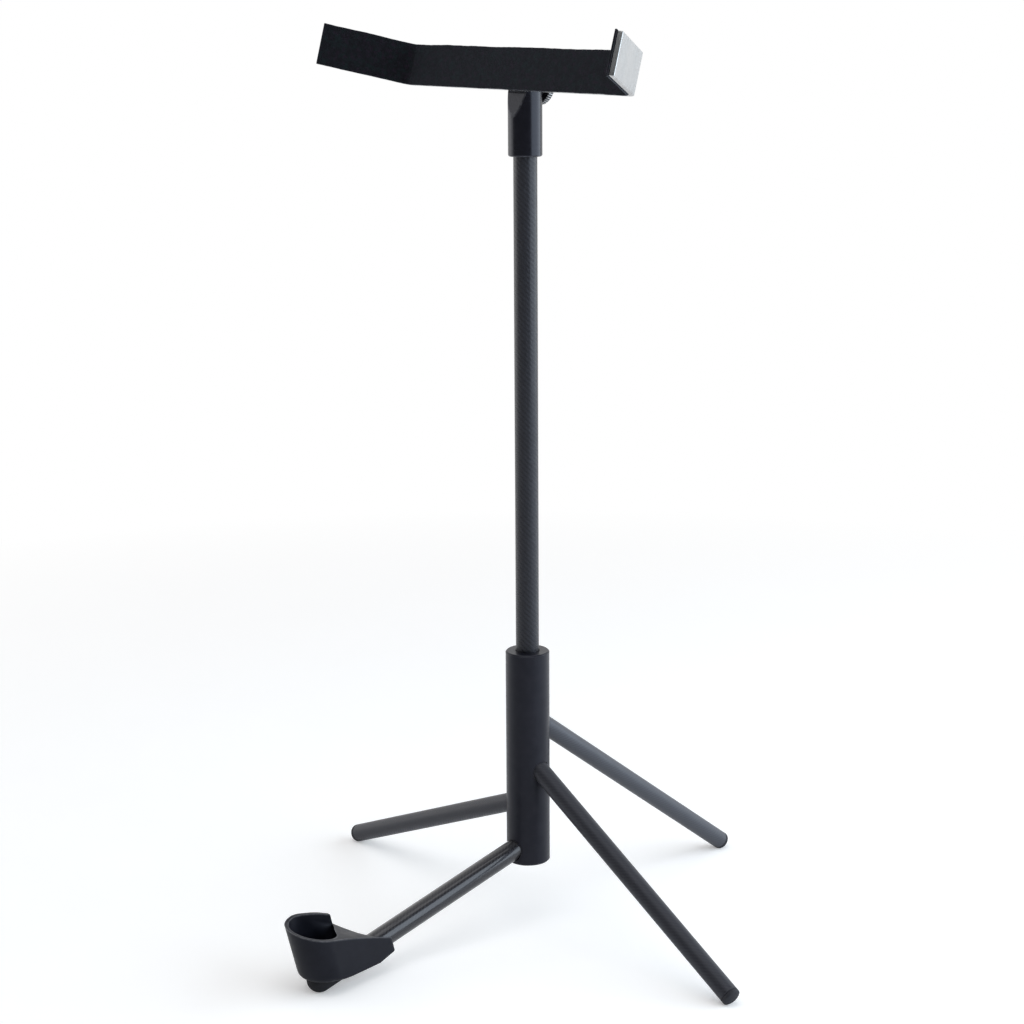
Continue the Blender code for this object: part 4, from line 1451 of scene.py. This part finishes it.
        def at(distance: Array, kind: str) -> Array:
            """Points at this distance, at the height of the floor, the shelf, the lip or the underside."""
            x, s = distance * np.cos(angle), distance * np.sin(angle)
            shelf = self.shelf_height(x, s)
            below = self.underside - self.center_height - s * math.sin(self.arm.tilt)
            level = {
                "floor": np.full_like(x, self.floor),
                "shelf": shelf,
                "lip": np.where(lip_side, shelf + np.interp(s, self.lift_s, self.lift), shelf),
                "under": np.maximum(below / math.cos(self.arm.tilt), self.heel),
            }[kind]
            return np.stack([x, s, level], axis=1)

        corners = [at(inside, "floor"), at(rim, "shelf"), at(start, "shelf"), at(start, "lip")]
        corners += [at(stop, "lip"), at(stop, "shelf"), at(out, "shelf"), at(out, "under")]
        together = 1e-5
        raised = lip_side & (out * np.sin(angle) > self.lift_s[0]) & (stop - start > SMALL)
        shut_in, shut_out = start - rim < together, out - stop < together
        bare_in, bare_out = shut_in & ~raised, shut_out & ~raised
        over_in, over_out = ~(raised & shut_in), ~(raised & shut_out)
        sharp = [none, over_in, bare_in, raised | bare_in, raised | bare_out, bare_out, over_out]
        # Rims are marked to be painted pale: partly wear, partly painted highlight.
        rows, worn_and_lit = [at(inside * share, "floor") for share in (0.0, 0.5)], [none, none]
        for index, (corner, after, mark) in enumerate(zip(corners, corners[1:], sharp)):
            length = np.linalg.norm(after - corner, axis=1, keepdims=True)
            step = np.minimum(self.support / np.maximum(length, 1e-9), 1 / 3)
            gone = (length[:, 0] < together) * mark
            rows += [corner, corner + (after - corner) * step, corner + (after - corner) * 0.5]
            worn_and_lit += [mark, gone, gone]
            if index + 1 < len(sharp):
                rows.append(after + (corner - after) * step)
                worn_and_lit.append(gone)
        front = np.clip(0.5 - out * np.sin(angle) / self.front_span, 0.0, 1.0)[:, None]
        cut = self.front_least + self.front_more * front**2 * (3 - 2 * front)
        turn, *under = (at(out * share, "under") for share in self.under_shares)
        bend, _ = rounded(np.array([rows[-1], corners[-1], turn]), [0.0, cut, 0.0], self.front_steps)
        rows += [*bend[1:], *under]
        worn_and_lit += [none] * (len(rows) - len(worn_and_lit))
        return grid_patch(np.array(rows), np.array(worn_and_lit))

    def build(self, finishes: Finishes) -> None:
        """Makes the tube, the cap, the cup and the pad.

        Args:
            finishes: the stand's finishes.
        """
        place, length, gap = self.arm.place, self.arm.length, self.gap
        tube = self.tube.patch(self.inner_end, length).put(place)
        show("cup_tube", [tube], finishes.arm, "cup_arm", "cup_arm")
        mouth = self.center_reach / math.cos(self.arm.tilt) - self.cap_mouth
        turn, tip = np.linspace(0.0, math.pi / 2, self.nose_rings), length + self.cap_nose
        nose = np.stack([self.cap_radius * np.cos(turn), tip + self.cap_radius * np.sin(turn)], axis=1)
        bore = self.cap_bore
        corners = [(0.0, length + gap), (bore, length + gap), (bore, mouth), (self.cap_radius, mouth), tuple(nose[0])]
        line, edge = profile(corners, [0.0, 0.0002, 0.0002, 0.0005, 0.0])
        cap = spun(np.concatenate([line[:-1], nose]), np.pad(edge[:-1], (0, len(nose))), 96)
        cap = cap.put(place).above_floor()
        show("nose_cap", [cap], finishes.rubber, "cup_arm", "cup_foot")
        shell = self.shell().put(self.cup_place)
        show("moulded_cup", [shell], finishes.moulded, "cup_arm", "cup", self.soften)
        base, pad_radius = self.floor + gap, self.radius - self.wall - gap
        corners = [(0.0, base), (pad_radius, base), (pad_radius, base + self.pad), (0.0, base + self.pad)]
        pad = turned(corners, [0.0, 0.0003, 0.0005, 0.0]).put(self.cup_place)
        show("pocket_pad", [pad], finishes.rubber, "cup_arm", "cup_pad")


# Studio


@dataclass(frozen=True)
class SoftLight:
    """A large even lamp that looks at a point."""

    name: str
    position: Triple
    size: tuple[float, float]
    radiance: float
    color: Color
    target: Triple = (0.0, HUB_Y, 0.40)

    def build(self) -> None:
        """Makes the lamp; its power is its radiance times pi times its area."""
        lamp = bpy.data.lights.new(self.name, "AREA")
        lamp.shape = "RECTANGLE"
        lamp.size, lamp.size_y = self.size
        lamp.energy = self.radiance * math.pi * self.size[0] * self.size[1]
        lamp.color = self.color
        back = unit(np.array(self.position) - np.array(self.target))
        placed(self.name, lamp).matrix_world = Place.along(self.position, tuple(back)).matrix()


@dataclass(frozen=True)
class Studio:
    """The camera, the lamps, the pale floor and the white around them."""

    focal_px: float = 2295.31
    image_px: float = 1024.0
    center_px: float = 526.84
    sensor: float = 36.0
    heading: float = math.radians(48.40)
    distance: float = 1.90914
    height: float = 0.81477
    pitch: float = math.radians(13.15)
    roll: float = math.radians(-0.26)
    ambient: float = 0.34
    room: float = 0.12
    backdrop_from: float = -0.05
    backdrop_full: float = 0.75
    floor_rings: tuple[float, ...] = (0.0, 0.3, 0.6, 1.0, 2.0, 5.0, 14.0)

    def spot(self, heading: float, distance: float, height: float) -> Triple:
        """A point round the hub's axis; heading 0 is towards the camera and grows to its right."""
        angle = self.heading + math.radians(heading)
        return (distance * math.sin(angle), HUB_Y - distance * math.cos(angle), height)

    def camera(self) -> None:
        """Sets the camera where the photograph was taken from."""
        data = bpy.data.cameras.new("photo_camera")
        data.sensor_width = self.sensor
        data.lens = self.focal_px / self.image_px * self.sensor
        data.shift_x = (self.image_px / 2 - self.center_px) / self.image_px
        data.clip_start, data.clip_end = 0.05, 100.0
        out = np.array([math.sin(self.heading), -math.cos(self.heading), 0.0])
        right = np.array([math.cos(self.heading), math.sin(self.heading), 0.0])
        forward = -out * math.cos(self.pitch) - np.array([0.0, 0.0, 1.0]) * math.sin(self.pitch)
        up = np.cross(right, forward)
        level, lean = math.cos(self.roll), math.sin(self.roll)
        axes = (tuple(axis) for axis in (right * level + up * lean, up * level - right * lean, -forward))
        camera = placed("photo_camera", data)
        camera.matrix_world = Place(self.spot(0.0, self.distance, self.height), *axes).matrix()
        bpy.context.scene.camera = camera

    def lamps(self) -> None:
        """Hangs the lamps: a large one to the right, a dimmer one to the left and one overhead."""
        for name, spot, size, radiance, color in (
            ("right_lamp", (82.0, 1.9, 0.90), (3.3, 1.75), 2.9, (0.81, 0.91, 1.0)),
            ("left_lamp", (-108.0, 2.2, 0.8), (1.7, 1.7), 1.1, (1.0, 0.98, 0.96)),
            ("top_lamp", (-20.0, 0.5, 2.3), (2.0, 2.0), 1.3, WHITE),
        ):
            SoftLight(name, self.spot(*spot), size, radiance, color).build()

    def world(self) -> None:
        """Sets up the white around the stand.

        Camera rays see white. Mirror and glass rays see the white backdrop behind the stand, which fades into the
        dim room in front of it; everything else sees the room's soft light.
        """
        world = bpy.data.worlds.new("soft_white")
        bpy.context.scene.world = world
        graph = Graph(world)
        camera, mirror = graph.rays()
        way = (-math.sin(self.heading), math.cos(self.heading), 0.0)
        behind = graph.dot(graph.add("TexCoord").outputs["Generated"], way)
        backdrop = graph.span(behind, self.backdrop_from, self.backdrop_full, self.room, 1.0)
        inputs = graph.tree.nodes["Background"].inputs
        graph.feed(inputs["Color"], WHITE)
        graph.feed(inputs["Strength"], graph.mix(camera, graph.mix(mirror, self.ambient, backdrop), 1.0))

    def floor(self) -> None:
        """Lays the floor: rings of quads out to its edge."""
        rows = polar(np.array(self.floor_rings)[:, None], np.linspace(0.0, math.tau, 97), 0.0)
        mesh = bpy.data.meshes.new("pale_floor")
        index = np.arange(rows.shape[0] * rows.shape[1]).reshape(rows.shape[:2])
        quads = np.stack([index[:-1, :-1], index[1:, :-1], index[1:, 1:], index[:-1, 1:]], axis=-1).reshape(-1, 4)
        mesh.from_pydata(rows.reshape(-1, 3).tolist(), [], quads.tolist())
        mesh.materials.append(PaleFloor().material())
        placed("pale_floor", mesh)

    def build(self) -> None:
        """Sets up the whole studio."""
        self.camera()
        self.lamps()
        self.world()
        self.floor()
        bpy.context.scene.view_settings.view_transform = "Standard"


def main() -> None:
    """Loads the frame, dresses every piece and sets up the studio."""
    logging.basicConfig(level=logging.INFO, format="%(name)s: %(message)s")
    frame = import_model()
    finishes = Finishes()
    cup_arm = Arm((0.0, HUB_Y, 0.0713), (0.0, -0.966342, -0.257262), 0.236976, 0.009)
    right = Arm((0.0, HUB_Y, 0.1495), (0.865882, 0.0, -0.500248), 0.286171, 0.00825)
    rear = Arm((0.0, HUB_Y, 0.1886), (0.0, 0.80397, -0.59467), 0.307342, 0.00825)
    left = Arm((0.0, HUB_Y, 0.1104), (-0.922983, 0.0, -0.384842), 0.269164, 0.00825)
    HubColumn().build([cup_arm, right, rear, left], finishes)
    for part in (UprightPost(), SlantedHead(), Cradle(), CradleBolt(), Clamp()):
        part.build(finishes)
    for part in (Leg("right", right), Leg("rear", rear), Leg("left", left), CupArm(cup_arm)):
        part.build(finishes)
    for name in ("post_ring", "head_ring", "right_ring", "rear_ring", "left_ring", "arm_ring"):
        ring = frame["nodes"][name]
        ring.data.materials.clear()
        ring.data.materials.append(finishes.rubber)
        LOG.info("%s dressed", name)
    Studio().build()
    LOG.info("studio ready")


if __name__ == "__main__":
    main()
